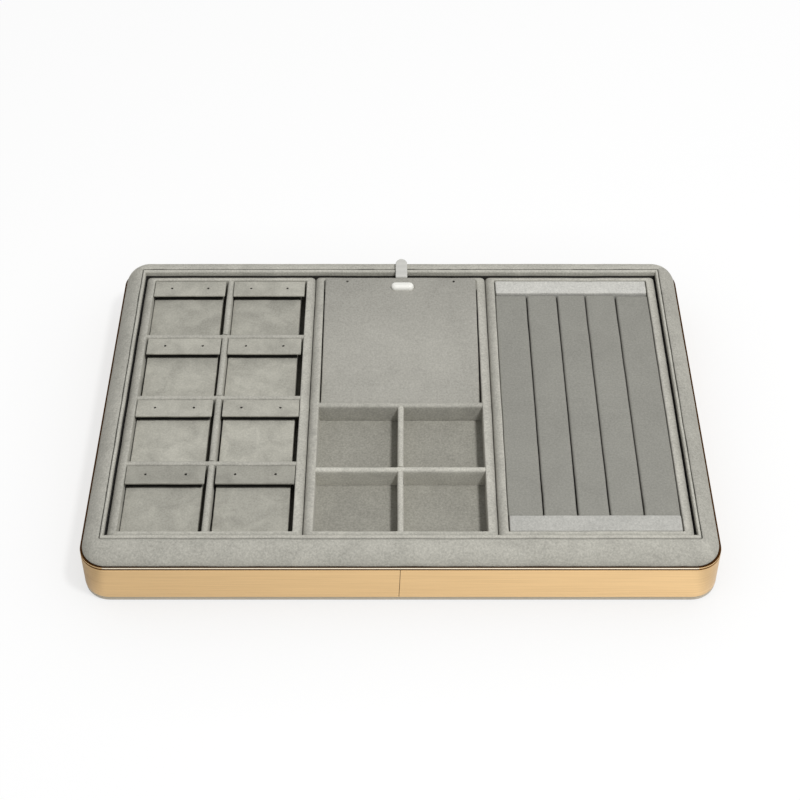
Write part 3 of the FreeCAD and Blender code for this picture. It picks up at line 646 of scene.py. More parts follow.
def brushed_gold():
    """Aluminium brushed lengthwise and anodised pale gold: long fine lines along the strip and a gloss that
    spreads across them. Real brush lines are about a tenth of a millimetre wide, so they are drawn wider to
    show."""
    material, tree, shader, place = new_finish("anodised_aluminium")
    code, dark, light = colours().gold, 0.93, 1.06
    line_mm, run_mm, relief_mm = 0.5, 45.0, 0.03
    spread = add(tree, "ShaderNodeMapping", {
        "Vector": place, "Scale": (1/(run_mm*MM), 1/(run_mm*MM), 1/(line_mm*MM))})
    brush = add(tree, "ShaderNodeTexNoise", {
        "Vector": spread.outputs["Vector"], "Scale": 1.0, "Detail": 3.0, "Roughness": 0.65}).outputs["Fac"]
    tone = add(tree, "ShaderNodeMapRange", {"Value": brush, "From Min": 0.3, "From Max": 0.7})
    mixed = add(tree, "ShaderNodeMix", {
        "Factor": tone.outputs["Result"], "A": shade(code, dark), "B": shade(code, light)}, data_type="RGBA")
    gloss = add(tree, "ShaderNodeMapRange", {
        "Value": brush, "From Min": 0.3, "From Max": 0.7, "To Min": 0.42, "To Max": 0.28})
    relief = add(tree, "ShaderNodeBump", {"Height": brush, "Strength": 0.25, "Distance": relief_mm*MM})
    around = add(tree, "ShaderNodeTangent", direction_type="RADIAL", axis="Z")
    give(tree, shader, {
        "Base Color": mixed.outputs["Result"], "Roughness": gloss.outputs["Result"],
        "Normal": relief.outputs["Normal"], "Tangent": around.outputs["Tangent"],
        "Metallic": 1.0, "Anisotropic": 0.6})
    return material


def lip_painted_highlight():
    """The same aluminium on the lip with a painted highlight: paler than the face, with a sharper gloss."""
    material, tree, shader, place = new_finish("burnished_aluminium")
    code, dark, light, highlight_mottle_mm = colours().lip, 0.92, 1.05, 12.0
    highlight_mottle = add(tree, "ShaderNodeTexNoise", {"Vector": place, "Scale": 1/(highlight_mottle_mm*MM), "Detail": 2.0})
    gloss = add(tree, "ShaderNodeMapRange", {"Value": highlight_mottle.outputs["Fac"], "To Min": 0.15, "To Max": 0.3})
    mixed = add(tree, "ShaderNodeMix", {
        "Factor": highlight_mottle.outputs["Fac"], "A": shade(code, dark), "B": shade(code, light)}, data_type="RGBA")
    give(tree, shader, {
        "Base Color": mixed.outputs["Result"], "Roughness": gloss.outputs["Result"], "Metallic": 1.0})
    return material


def base_cloth():
    """Plain-woven lining cloth glued over the base: matt, with a crossed thread pattern."""
    material, tree, shader, place = new_finish("lining_cloth")
    code, dark, thread_mm, relief_mm = colours().base, 0.82, 0.7, 0.1
    threads = [add(tree, "ShaderNodeTexWave", {
        "Vector": place, "Scale": 1/(thread_mm*MM*math.pi), "Distortion": 0.8, "Detail": 1.0},
        wave_type="BANDS", bands_direction=way) for way in ("X", "Y")]
    weave = add(tree, "ShaderNodeMath", {
        0: threads[0].outputs["Fac"], 1: threads[1].outputs["Fac"]}, operation="MULTIPLY")
    mixed = add(tree, "ShaderNodeMix", {
        "Factor": weave.outputs["Value"], "A": shade(code, dark), "B": code}, data_type="RGBA")
    relief = add(tree, "ShaderNodeBump", {
        "Height": weave.outputs["Value"], "Strength": 0.4, "Distance": relief_mm*MM})
    give(tree, shader, {
        "Base Color": mixed.outputs["Result"], "Normal": relief.outputs["Normal"], "Roughness": 0.9})
    return material


def raw_fibreboard():
    """Medium-density fibreboard as sawn: dull brown, with pressed wood dust and darker flecks."""
    material, tree, shader, place = new_finish("raw_fibreboard")
    code, dark, light = colours().fibreboard, 0.75, 1.25
    dust_mm, fleck_mm, relief_mm = 0.6, 2.5, 0.1
    dust = add(tree, "ShaderNodeTexNoise", {
        "Vector": place, "Scale": 1/(dust_mm*MM), "Detail": 4.0, "Roughness": 0.7})
    flecks = add(tree, "ShaderNodeTexVoronoi", {"Vector": place, "Scale": 1/(fleck_mm*MM)})
    tone = add(tree, "ShaderNodeMath", {
        0: dust.outputs["Fac"], 1: flecks.outputs["Distance"]}, operation="MULTIPLY", use_clamp=True)
    mixed = add(tree, "ShaderNodeMix", {
        "Factor": tone.outputs["Value"], "A": shade(code, dark), "B": shade(code, light)}, data_type="RGBA")
    relief = add(tree, "ShaderNodeBump", {
        "Height": dust.outputs["Fac"], "Strength": 0.3, "Distance": relief_mm*MM})
    give(tree, shader, {
        "Base Color": mixed.outputs["Result"], "Normal": relief.outputs["Normal"], "Roughness": 0.85})
    return material


FINISHES = {
    "pale_ribbon": satin_ribbon,
    "brushed_gold": brushed_gold,
    "lip_painted_highlight": lip_painted_highlight,
    "base_wrap": base_cloth,
    "fibreboard": raw_fibreboard,
}
MADE_FINISHES = {}


def finish(name):
    """The finish for that slot, made when it is first asked for."""
    if name not in MADE_FINISHES:
        if name in SUEDES:
            made = suede(*SUEDES[name])
        elif name in MOTTLED:
            made = mottled(*MOTTLED[name])
        else:
            made = FINISHES[name]()
        MADE_FINISHES[name] = made
    return MADE_FINISHES[name]


def dress(node, name):
    """Give a node of the frame a finish."""
    slots = frame["nodes"][node].data.materials
    slots.clear()
    slots.append(finish(name))


# Pieces


class TRAY_OT_core(bpy.types.Operator):
    """Finish the boards that keep their frame shape: base plate, well floor and hidden core"""

    bl_idname = "tray.core"
    bl_label = "Core boards"

    def execute(self, context):
        for node in RAW_NODES:
            dress(node, "fibreboard")
        for node in LINED_NODES:
            dress(node, "lining_suede")
        dress("base_plate", "base_wrap")
        dress("well_floor", "suede_wrap")
        return {"FINISHED"}


class TRAY_OT_band(bpy.types.Operator):
    """Bend the metal strip round the tray and butt its ends at the front"""

    bl_idname = "tray.band"
    bl_label = "Metal band"

    def execute(self, context):
        size = shapes()
        low, high = box("metal_band")
        high[2] -= size.band_drop
        inside, neck, crease, spacing = -size.band_thickness, -size.groove_depth, 0.1*MM, 4*MM
        groove_top = high[2] - size.band_lip
        groove_foot = groove_top - size.groove_height
        section = densify(rounded_polygon((
            (0, low[2]), (0, groove_foot), (neck, groove_foot), (neck, groove_top),
            (0, groove_top), (0, high[2]), (inside, high[2]), (inside, low[2]),
        ), [size.band_edge] + [crease]*4 + [size.band_edge]*3), spacing)
        offset, height = section[:, 0], section[:, 1]
        middle = midpoints(section)
        outside = middle[:, 0] > neck - crease
        # The band's finishes: brushed face, painted shade in the groove, the lip's painted highlight, and
        # painted shade on the top edge
        face, groove, lip, top = 0, 1, 2, 3
        patches = np.select([
            middle[:, 1] > high[2] - crease, outside & (middle[:, 1] > groove_top + HAIR),
            outside & (middle[:, 1] > groove_foot - HAIR)], [top, lip, groove], face)
        form, slant = loop_form(across_steps=120, along_steps=80, corner_steps=16), 0.1
        closed = tuple(np.concatenate([part, part[:1]]) for part in form)
        # The lip's painted highlight is kept to the straight runs; round the corners the lip takes the face's
        # finish
        bent = np.abs(closed[1][:-1] + closed[1][1:]).min(axis=1)[:, None] > slant
        patches = np.where(bent & (patches == lip)[None], face, patches[None])
        grid = loops(closed, high[0] + offset, high[1] + offset, size.band_corner + offset, height)
        lean = size.band_lean*(height - low[2])/(high[2] - low[2]) - size.band_lean
        under_lip = groove_top - 0.2*MM
        ajar = np.where(height < under_lip, size.band_seam, HAIR)/2
        grid[:, 0, 0] = lean + ajar
        grid[:, -1, 0] = lean - ajar
        mesh = grid_mesh("metal_strip", grid.transpose(1, 0, 2), caps=True, patches=patches)
        others = ("groove_painted_shade", "lip_painted_highlight", "top_edge_painted_shade")
        stand_in("metal_strip", mesh, "metal_band", more_finishes=others)
        return {"FINISHED"}


class TRAY_OT_rim(bpy.types.Operator):
    """Wrap the rim in suede, with a quarter round outside and a tight edge inside"""

    bl_idname = "tray.rim"
    bl_label = "Rim"

    def execute(self, context):
        size = shapes()
        low, high = box("rim_frame")
        width = high[0] - box("liner_right")[1][0] - size.rim_gap
        corner = size.band_corner - (box("metal_band")[1][0] - high[0])
        outer, hem, turned_in, spacing = -size.rim_inset, low[2] - size.rim_skirt, 0.4*MM, 2*MM
        reach = width - size.rim_edge - size.rim_flat - size.rim_inset
        rise, power = high[2] - hem - size.rim_foot, 2/size.rim_fullness
        swing = quarter(24)
        dome = np.stack([
            outer - reach*(1 - np.cos(swing)**power), high[2] - rise*(1 - np.sin(swing)**power)], axis=1)
        edge = np.stack([
            -width + size.rim_edge*(1 - np.sin(swing[::4])),
            high[2] - size.rim_edge*(1 - np.cos(swing[::4]))], axis=1)
        foot = np.array([
            [-width, low[2]], [outer - turned_in, low[2]], [outer - turned_in, hem],
            [outer - turned_in/4, hem], [outer, hem + turned_in/4]])
        section = densify(np.concatenate([dome, edge, foot]), spacing)
        offset, height = section[:, 0], section[:, 1]
        past = np.clip((outer - offset - reach)/(width + outer - reach), 0, 1)
        parallel = np.maximum(corner + offset, size.rim_inner_corner)
        turn = parallel*(1 - past) + size.rim_inner_corner*past
        form = loop_form(round(2*high[0]/size.grid_step), round(2*high[1]/size.grid_step), corner_steps=16)
        drawn_in = size.rim_side*np.clip((offset + width)/(outer + width), 0, 1)
        grid = soften(loops(form, high[0] + offset - drawn_in, high[1] + offset, turn, height))
        mesh = grid_mesh("suede_rim", grid, wrap_rows=True)

        def lie(points):
            """Each side of the rim was wrapped by itself, with its nap brushed its own way. Down the seam at
            its inner edge, shade is painted.
            """
            beside, seam = np.abs(points[:, 0]) - high[0] > np.abs(points[:, 1]) - high[1], 0.3*MM
            across = np.where(points[:, 0] > 0, RIM_LIE["right"], RIM_LIE["left"])
            along = np.where(points[:, 1] > 0, RIM_LIE["back"], RIM_LIE["front"])
            inner = np.max(np.abs(points[:, :2]) - (high[:2] - width), axis=1) < seam
            in_seam = inner & (points[:, 2] < high[2] - seam)
            return np.where(in_seam, SEAM_PAINTED_SHADE, np.where(beside, across, along))

        stand_in("suede_rim", mesh, "rim_frame", lie=lie)
        return {"FINISHED"}


class TRAY_OT_liners(bpy.types.Operator):
    """Line the well with four mitred boards that end in a rounded bead"""

    bl_idname = "tray.liners"
    bl_label = "Well liners"

    def execute(self, context):
        size = shapes()
        outer = box("liner_right")[1][0], box("liner_back")[1][1]
        thick = np.subtract(*box("liner_right")[::-1])[0], np.subtract(*box("liner_back")[::-1])[1]
        low, high = box("liner_back")
        turn_in, spacing, most = box("pendant_box")[1][2] - 0.5*MM, 0.5*MM, 0.45
        liners = ("liner_front", 0, -1), ("liner_back", 0, 1), ("liner_left", 1, -1), ("liner_right", 1, 1)
        for node, axis, way in liners:
            half, away = outer[axis], outer[1 - axis]
            own, other = thick[1 - axis], thick[axis]
            turn = min(size.liner_round, most*own)
            section = block_section((-own, low[2]), (0, high[2]), SHARP_EDGE, turn, spacing)
            share = np.linspace(-1, 1, round(2*half/size.grid_step))
            grid = carried(section, share, np.zeros_like(share))
            grid[..., 0] *= half + grid[..., 1]*other/own
            grid[..., 1] = way*(away + grid[..., 1])
            if axis == 1:
                grid = grid[..., (1, 0, 2)]
            middle = midpoints(section)
            # Below the inserts' tops the liners' inner faces take the dark sheet of painted shade
            painted_shade_quads = (middle[:, 0] < -own/2) & (middle[:, 1] < turn_in)
            mesh = grid_mesh(f"well_{node}", soften(grid), caps=True, patches=painted_shade_quads[None])
            stand_in(f"well_{node}", mesh, node, more_finishes=("dark_paper",), lie=BEAD_LIE)
        return {"FINISHED"}


class TRAY_OT_insert_boxes(bpy.types.Operator):
    """Wrap the three insert boxes: lined floor, walls with rounded tops"""

    bl_idname = "tray.insert_boxes"
    bl_label = "Insert boxes"

    def execute(self, context):
        size = shapes()
        bed_low, bed_high = box("ring_bed_board")
        bay = (bed_high - bed_low)[:2]/2
        floor_rings, under_rings, tight, beside_bay = 12, 8, size.fold/2, -0.1
        for node in INSERT_BOXES:
            low, high = box(node)
            reach, centre = (high - low)[:2]/2, (high + low)[:2]/2
            wall = min(reach - bay)
            inner = np.linspace(1, 0, floor_rings)[:-1]*(bay[0] - size.fold)
            over = rounded_polygon(
                ((0, bed_low[2]), (0, high[2]), (wall, high[2]), (wall, low[2])),
                (size.fold, size.wall_inside, size.wall_outside, size.fold), steps=8)
            turn_in = size.fold*(1 - np.sin(quarter(5)))
            turn_up = bed_low[2] + size.fold*(1 - np.cos(quarter(5)))
            rise = over[(over[:, 1] > turn_up[-1]) | (over[:, 0] > wall/2)]
            share = rise[:, 0]/wall
            inset = np.concatenate([inner + size.fold, turn_in])
            floor_z = np.concatenate([np.full(len(inner), bed_low[2]), turn_up])
            under = np.linspace(0, 1, under_rings)[1:]*(reach[0] - size.fold) + size.fold
            half = [np.concatenate([bay[k] - inset, bay[k] + share*(reach[k] - bay[k]), reach[k] - under])
                    for k in (0, 1)]
            corner = np.concatenate([
                np.full(len(inset), tight), size.fold + share*(size.insert_corner - size.fold),
                np.full(len(under), tight)])
            corner = np.minimum(corner, half[0])
            height = np.concatenate([floor_z, rise[:, 1], np.full(len(under), low[2])])
            form = loop_form(*np.round(2*reach/size.grid_step).astype(int), corner_steps=6)
            grid = soften(loops(form, *half, corner, height) + np.array([*centre, 0]))
            on_floor = np.arange(len(height) - 1)[:, None] < len(inset) - 2
            mesh = grid_mesh(f"wrapped_{node}", grid, patches=on_floor)

            def lie(points):
                """A wall's top is painted lighter at its inner edge and darker at its outer one, and the left
                wall's top darker still, as painted light and shade. On the earring box the floor is painted
                dark as shade."""
                past = (np.abs(points[:, :2] - centre) - bay)/(reach - bay)
                brushed = np.interp(past.max(axis=1), (0, 1), (WALL_TOP_PAINTED_LIGHT["inside"], WALL_TOP_PAINTED_LIGHT["outside"]))
                on_left = (past[:, 0] > beside_bay) & (points[:, 0] < centre[0])
                brushed = brushed + np.where(on_left, LEFT_WALL_PAINTED_SHADE[node], 0.0)
                painted_floor_shade = np.where(points[:, 2] < bed_low[2] + size.fold, BOX_FLOOR_PAINTED_SHADE[node], 0.0)
                return np.where(points[:, 2] > high[2] - size.wall_outside, brushed, painted_floor_shade)

            stand_in(f"wrapped_{node}", mesh, node, more_finishes=("lining_suede",), lie=lie)
        return {"FINISHED"}


def divider(node, axis, crossings=(), crossing_width=0.0, notched_top=False):
    """Divider with a rounded top along one axis. Over each crossing it keeps only its lower or upper half."""
    size = shapes()
    low, high = box(node)
    across = 1 - axis
    middle, half = (low[across] + high[across])/2, (high[across] - low[across])/2
    base, top = low[2], high[2]
    most, spacing, slack, step = 0.9, 2.5*MM, 0.1*MM, HAIR
    turn = min(size.divider_round, half*most)
    section = block_section((-half, base), (half, top), SHARP_EDGE, turn, spacing)
    notch, crossings = crossing_width/2 + slack, np.array(crossings)

    def from_crossing(places):
        """How far each place lies from the nearest crossing."""
        return np.abs(places[:, None] - crossings[None]).min(axis=1, initial=np.inf)

    edges = crossings[:, None] + np.array([-1, -1, 1, 1])*(notch + np.array([0, step, 0, step]))
    even = np.linspace(low[axis], high[axis], round((high[axis] - low[axis])/size.grid_step))
    clear = even[from_crossing(even) > notch + 2*step]
    along = np.unique(np.concatenate([clear, edges.ravel()]))
    grid = carried(section, along, np.zeros_like(along))
    inside = from_crossing(along) < notch + step/2
    level, height = (base + top)/2, grid[..., 2]
    if notched_top:
        halved = base + (height - base)*(level - HAIR - base)/(top - base)
    else:
        halved = top - (top - height)*(top - level - HAIR)/(top - base)
    grid[..., 2] = np.where(inside[:, None], halved, height)
    grid[..., 1] += middle
    if axis == 1:
        grid = grid[..., (1, 0, 2)]
    mesh = grid_mesh(f"suede_{node}", soften(grid), caps=True)
    stand_in(f"suede_{node}", mesh, node, lie=DIVIDER_PAINTED_LIGHT.get(node, 0.0))


class TRAY_OT_dividers(bpy.types.Operator):
    """Halve the crossed dividers into each other and wrap them in suede"""

    bl_idname = "tray.dividers"
    bl_label = "Dividers"

    def execute(self, context):
        crates = (
            ("earring_divider_long", sorted(n for n in BODY_OF if n.startswith("earring_divider_cross_"))),
            ("compartment_divider_long", ["compartment_divider_cross"]),
        )
        for long_node, cross_nodes in crates:
            long_low, long_high = box(long_node)
            places = [box(node) for node in cross_nodes]
            divider(long_node, 1, [(low[1] + high[1])/2 for low, high in places],
                    places[0][1][1] - places[0][0][1], notched_top=True)
            for node in cross_nodes:
                divider(node, 0, [(long_low[0] + long_high[0])/2], long_high[0] - long_low[0])
        divider("pendant_cross_wall", 0)
        return {"FINISHED"}


class TRAY_OT_earring_cards(bpy.types.Operator):
    """Fold the earring cards to a C with two pin holes in the strip"""

    bl_idname = "tray.earring_cards"
    bl_label = "Earring cards"

    def execute(self, context):
        size = shapes()
        spacing, skin, shade_start, slack = 0.6*MM, 0.2*MM, 0.45, 0.1*MM
        for node in EARRING_CARDS:
            low, high = box(node)
            sheet, front = size.card_thickness, high[1] - size.strip_depth
            strip_foot, pad_top = high[2] - sheet, low[2] + size.pad_thickness + size.pad_crown
            edge, bend, crease = size.card_edge, size.card_bend, 0.4*MM
            pin_row = high[1] - size.strip_depth/2
            outline = rounded_polygon((
                (low[1], low[2]), (high[1], low[2]), (high[1], high[2]), (front, high[2]),
                (front, strip_foot), (high[1] - sheet, strip_foot), (high[1] - sheet, pad_top),
                (low[1], pad_top),
            ), (edge, bend, bend, edge, edge, crease, crease, size.pad_round))
            reach = HOLE_REACH*size.pin_hole/2
            pins = pin_row + reach*np.linspace(1, -1, HOLE_ROWS)
            section = densify(with_rows(outline, pins, high[2], pin_row), spacing)
            centre = (low[0] + high[0])/2
            holes = [centre + way*size.pin_pitch/2 for way in (-1, 1)]
            marks = [(hole, reach) for hole in holes]
            grid = carried(section, *stations(low[0], high[0], size.grid_step, edge, marks))
            on_top = grid[..., 2] > high[2] - skin
            pressed = grid
            for hole in holes:
                pressed = dimple(pressed, (hole, pin_row), size.pin_hole/2, sheet*HOLE_DEPTH)
            grid = np.where(on_top[..., None], pressed, grid)
            below = np.clip((strip_foot - grid[..., 2])/(strip_foot - pad_top), 0, 1)
            beside = (grid[..., 0] - centre)/((high[0] - low[0])/2)
            row, column = node.split("_")[2:]
            far = size.pad_far if column == "right" else size.pad_right
            grid[..., 0] -= below*beside*np.where(beside > 0, far, size.pad_left)
            middle = midpoints(section)
            # Inside the fold, back from where the strip's shade starts, the card takes the dark sheet of
            # painted shade
            shaded = front + shade_start*(strip_foot - pad_top)
            in_fold = (middle[:, 0] > shaded) & (middle[:, 0] < high[1] - sheet + edge)
            painted_shade_quads = in_fold & (middle[:, 1] > pad_top - slack) & (middle[:, 1] < strip_foot + slack)
            mesh = grid_mesh(f"folded_{node}", soften(grid), caps=True, patches=painted_shade_quads[None])

            def lie(points):
                """Strip and pad are brushed apart, and shade is painted into the pin holes."""
                nap = np.where(points[:, 2] > strip_foot - sheet, STRIP_LIE[row], PAD_LIE[row])
                hole_shade_mask = from_holes(points, holes, pin_row) < size.pin_hole*HOLE_SHADE_SHARE
                return np.where(hole_shade_mask & (points[:, 2] > strip_foot), HOLE_PAINTED_SHADE, nap)

            stand_in(f"folded_{node}", mesh, node, more_finishes=("dark_paper",), lie=lie)
        return {"FINISHED"}


def board_frame():
    """The pendant board's lie: its front top edge, its length, and the direction that it climbs in. The slope
    is that of its two rests."""
    front_rest, back_rest = box("board_rest_front")[1], box("board_rest_back")[1]
    slope = math.atan2(back_rest[2] - front_rest[2], back_rest[1] - front_rest[1])
    low, high = box("pendant_board")
    thickness = shapes().board_thickness
    run = (high[1] - low[1] - thickness*math.sin(slope))/math.cos(slope)
    origin = np.array([0, low[1], low[2] + thickness*math.cos(slope)])
    return origin, run, slope


def onto_board(points):
    """Points drawn on the flat board, turned to its slope about its front top edge and moved to its place."""
    origin, _, slope = board_frame()
    cosine, sine = math.cos(slope), math.sin(slope)
    turn = np.array([[1, 0, 0], [0, cosine, sine], [0, -sine, cosine]])
    return points @ turn + origin


class TRAY_OT_pendant_board(bpy.types.Operator):
    """Wrap the sloping board, with its chain holes and the sunk bed of its slot"""

    bl_idname = "tray.pendant_board"
    bl_label = "Pendant board"

    def execute(self, context):
        size = shapes()
        low, high = box("pendant_board")
        _, run, _ = board_frame()
        chain_row, slot_row = run - size.chain_inset, run - size.slot_inset
        foot_edge, skin, spacing = 0.3*MM, 0.3*MM, 3*MM
        slot_rows, slot_reach, slot_edge, slot_depth = 25, 0.8, 0.5*MM, 0.8*MM
        outline = rounded_polygon(
            ((0, -size.board_thickness), (run, -size.board_thickness), (run, 0), (0, 0)),
            (foot_edge, foot_edge, size.board_edge, size.board_edge))
        reach = HOLE_REACH*size.chain_hole/2
        chain = chain_row + reach*np.linspace(1, -1, HOLE_ROWS)
        slot = slot_row + slot_reach*size.slot_width*np.linspace(1, -1, slot_rows)
        rows = np.unique(np.concatenate([chain, slot]))[::-1]
        section = densify(with_rows(outline, rows, 0.0, slot_row), spacing)
        holes = [way*size.chain_span/2 for way in (-1, 1)]
        slot_marks = size.slot_aside + np.linspace(-0.5, 0.5, 3)*size.slot_length
        marks = [(hole, reach) for hole in holes] + [(mark, size.slot_length/3) for mark in slot_marks]
        grid = carried(section, *stations(low[0], high[0], size.grid_step, size.board_edge, marks))
        on_top = grid[..., 2] > -skin
        pressed = grid
        for hole in holes:
            pressed = dimple(pressed, (hole, chain_row), size.chain_hole/2, size.board_thickness*HOLE_DEPTH)
        straight = (size.slot_length - size.slot_width)/2
        beside = grid[..., 0] - size.slot_aside
        away = np.hypot(beside - np.clip(beside, -straight, straight), grid[..., 1] - slot_row)
        pressed[..., 2] -= slot_depth*ease(1 - (away - size.slot_width/2)/slot_edge)
        grid = soften(np.where(on_top[..., None], pressed, grid))
        mesh = grid_mesh("suede_pendant_board", onto_board(grid), caps=True)
        origin, _, slope = board_frame()
        row_y, darkening_reach = origin[1] + chain_row*math.cos(slope), 45*MM

        def lie(points):
            """The board is darker towards the back, and shade is painted into the chain holes."""
            hole_shade_mask = from_holes(points, holes, row_y) < size.chain_hole*HOLE_SHADE_SHARE
            darker_to_back = np.interp(points[:, 1], (row_y - darkening_reach, row_y), (0.0, BOARD_BACK_DARKENING))
            return np.where(hole_shade_mask, HOLE_PAINTED_SHADE, darker_to_back)

        stand_in("suede_pendant_board", mesh, "pendant_board", lie=lie)
        return {"FINISHED"}


class TRAY_OT_retaining_bar(bpy.types.Operator):
    """Set the pale rounded bar in the board's slot"""

    bl_idname = "tray.retaining_bar"
    bl_label = "Retaining bar"

    def execute(self, context):
        size = shapes()
        clearance, nearly, swell = 0.1*MM, 0.85, np.array([1.03, 1.04])
        half_x, half_y = size.slot_length/2 - clearance, size.slot_width/2 - clearance
        turn, crown, foot = quarter(9), size.bar_proud, -size.board_thickness
        inset = np.concatenate([[half_y, 0, 0], crown*(1 - np.cos(turn)), [half_y*nearly, half_y]])
        height = np.concatenate([[foot, foot, foot/2], crown*np.sin(turn), crown*swell])
        form = loop_form(across_steps=16, along_steps=2, corner_steps=10)
        grid = loops(form, half_x - inset, half_y - inset, half_y - inset, height)
        _, run, _ = board_frame()
        grid[..., 0] += size.slot_aside
        grid[..., 1] += run - size.slot_inset
        mesh = grid_mesh("rounded_retaining_bar", onto_board(grid))
        stand_in("rounded_retaining_bar", mesh, "retaining_bar", lie=RETAINING_BAR_LIE)
        return {"FINISHED"}


class TRAY_OT_pull_tab(bpy.types.Operator):
    """Fold the ribbon tab up behind the board and lay it back over the rim, with a round end"""

    bl_idname = "tray.pull_tab"
    bl_label = "Pull tab"

    def execute(self, context):
        """The ribbon's middle line climbs the board's back edge, turns through a quarter circle and runs
        back. Its section, as wide as the ribbon, is set square to that line, and narrows to a half circle at
        the end."""
        size = shapes()
        _, run, _ = board_frame()
        half, wide, bend = size.tab_thickness/2, size.tab_width/2, size.tab_bend
        narrowest, edge, spacing = 0.02, half*0.8, 1*MM
        climb = np.linspace(-size.board_thickness, half - bend, 4)
        turn = quarter(8)[1:]
        level = np.linspace(bend + half, size.tab_reach - wide, 10)[1:]
        tip = size.tab_reach - wide*(1 - np.sin(quarter(14)[1:]))
        ahead = np.concatenate([np.full(len(climb), half), half + bend*(1 - np.cos(turn)), level, tip])
        up = np.concatenate([climb, half - bend + bend*np.sin(turn), np.full(len(level) + len(tip), half)])
        lift = np.clip((ahead - bend - half)/(size.tab_reach - bend), 0, 1)
        up = up + size.tab_curl*lift**2
        tilt = np.concatenate([np.zeros(len(climb)), turn, np.full(len(level) + len(tip), math.pi/2)])
        past = np.clip(1 - (size.tab_reach - ahead)/wide, 0, 1)
        narrow = np.maximum(np.sqrt(1 - past*past), narrowest)
        section = densify(rounded_polygon(
            ((-wide, -half), (wide, -half), (wide, half), (-wide, half)), [edge]*4, steps=4), spacing)
        across = size.tab_aside + narrow[:, None]*section[None, :, 0]
        grid = np.stack([
            across, run + ahead[:, None] - np.cos(tilt)[:, None]*section[None, :, 1],
            up[:, None] + np.sin(tilt)[:, None]*section[None, :, 1]], axis=-1)
        mesh = grid_mesh("ribbon_pull_tab", onto_board(grid), caps=True)
        stand_in("ribbon_pull_tab", mesh, "pull_tab", lie=TAB_LIE)
        return {"FINISHED"}


class TRAY_OT_ring_bars(bpy.types.Operator):
    """Wrap the two bars at the ends of the ring rolls in pale velvet"""

    bl_idname = "tray.ring_bars"
    bl_label = "Ring end bars"

    def execute(self, context):
        size = shapes()
        for node in ("ring_bar_front", "ring_bar_back"):
            low, high = box(node)
            foot_edge, spacing = 0.3*MM, 2*MM
            section = block_section(low[1:], high[1:], foot_edge, size.end_bar_round, spacing)
            grid = carried(section, *stations(low[0], high[0], size.grid_step, size.end_bar_round))
            mesh = grid_mesh(f"velvet_{node}", soften(grid), caps=True)
            stand_in(f"velvet_{node}", mesh, node, lie=BAR_LIE[node])
        return {"FINISHED"}


class TRAY_OT_ring_rolls(bpy.types.Operator):
    """Sew the rolls' covers and puff them up over their foam"""

    bl_idname = "tray.ring_rolls"
    bl_label = "Ring rolls"

    def execute(self, context):
        size = shapes()
        stray, hem, spacing = np.array([0.0, *SEAM_STRAY, 0.0])*MM, 0.4*MM, 1.5*MM
        sides = [[size.roll_shoulder]*2 for _ in RING_ROLLS]
        sides[0][0] = sides[-1][1] = size.roll_wall_side
        covers = []
        for node, shift, (left, right) in zip(RING_ROLLS, zip(stray, stray[1:]), sides):
            low, high = box(node)
            low[0] += shift[0]
            high[0] += shift[1]
            half, middle = (high[0] - low[0])/2, (high[0] + low[0])/2
            brow, foot = high[2] - size.roll_crown, half - size.roll_draw
            section = densify(rounded_polygon(
                ((-foot, low[2]), (foot, low[2]), (half, brow), (-half, brow)),
                (hem, hem, right, left), steps=8), spacing)
            grid = carried(section, *stations(low[1], high[1], size.grid_step, size.roll_end))
            grid[..., 2] = np.maximum(grid[..., 2], low[2])
            grid[..., 1] += middle
            covers.append(grid_mesh(f"padded_{node}", soften(grid[..., (1, 0, 2)]), caps=True))
        puff(covers, box(RING_ROLLS[0])[0][2] + size.roll_foot, size.roll_crown)
        for node, mesh in zip(RING_ROLLS, covers):
            piece = stand_in(f"padded_{node}", mesh, node)
        return {"FINISHED"}


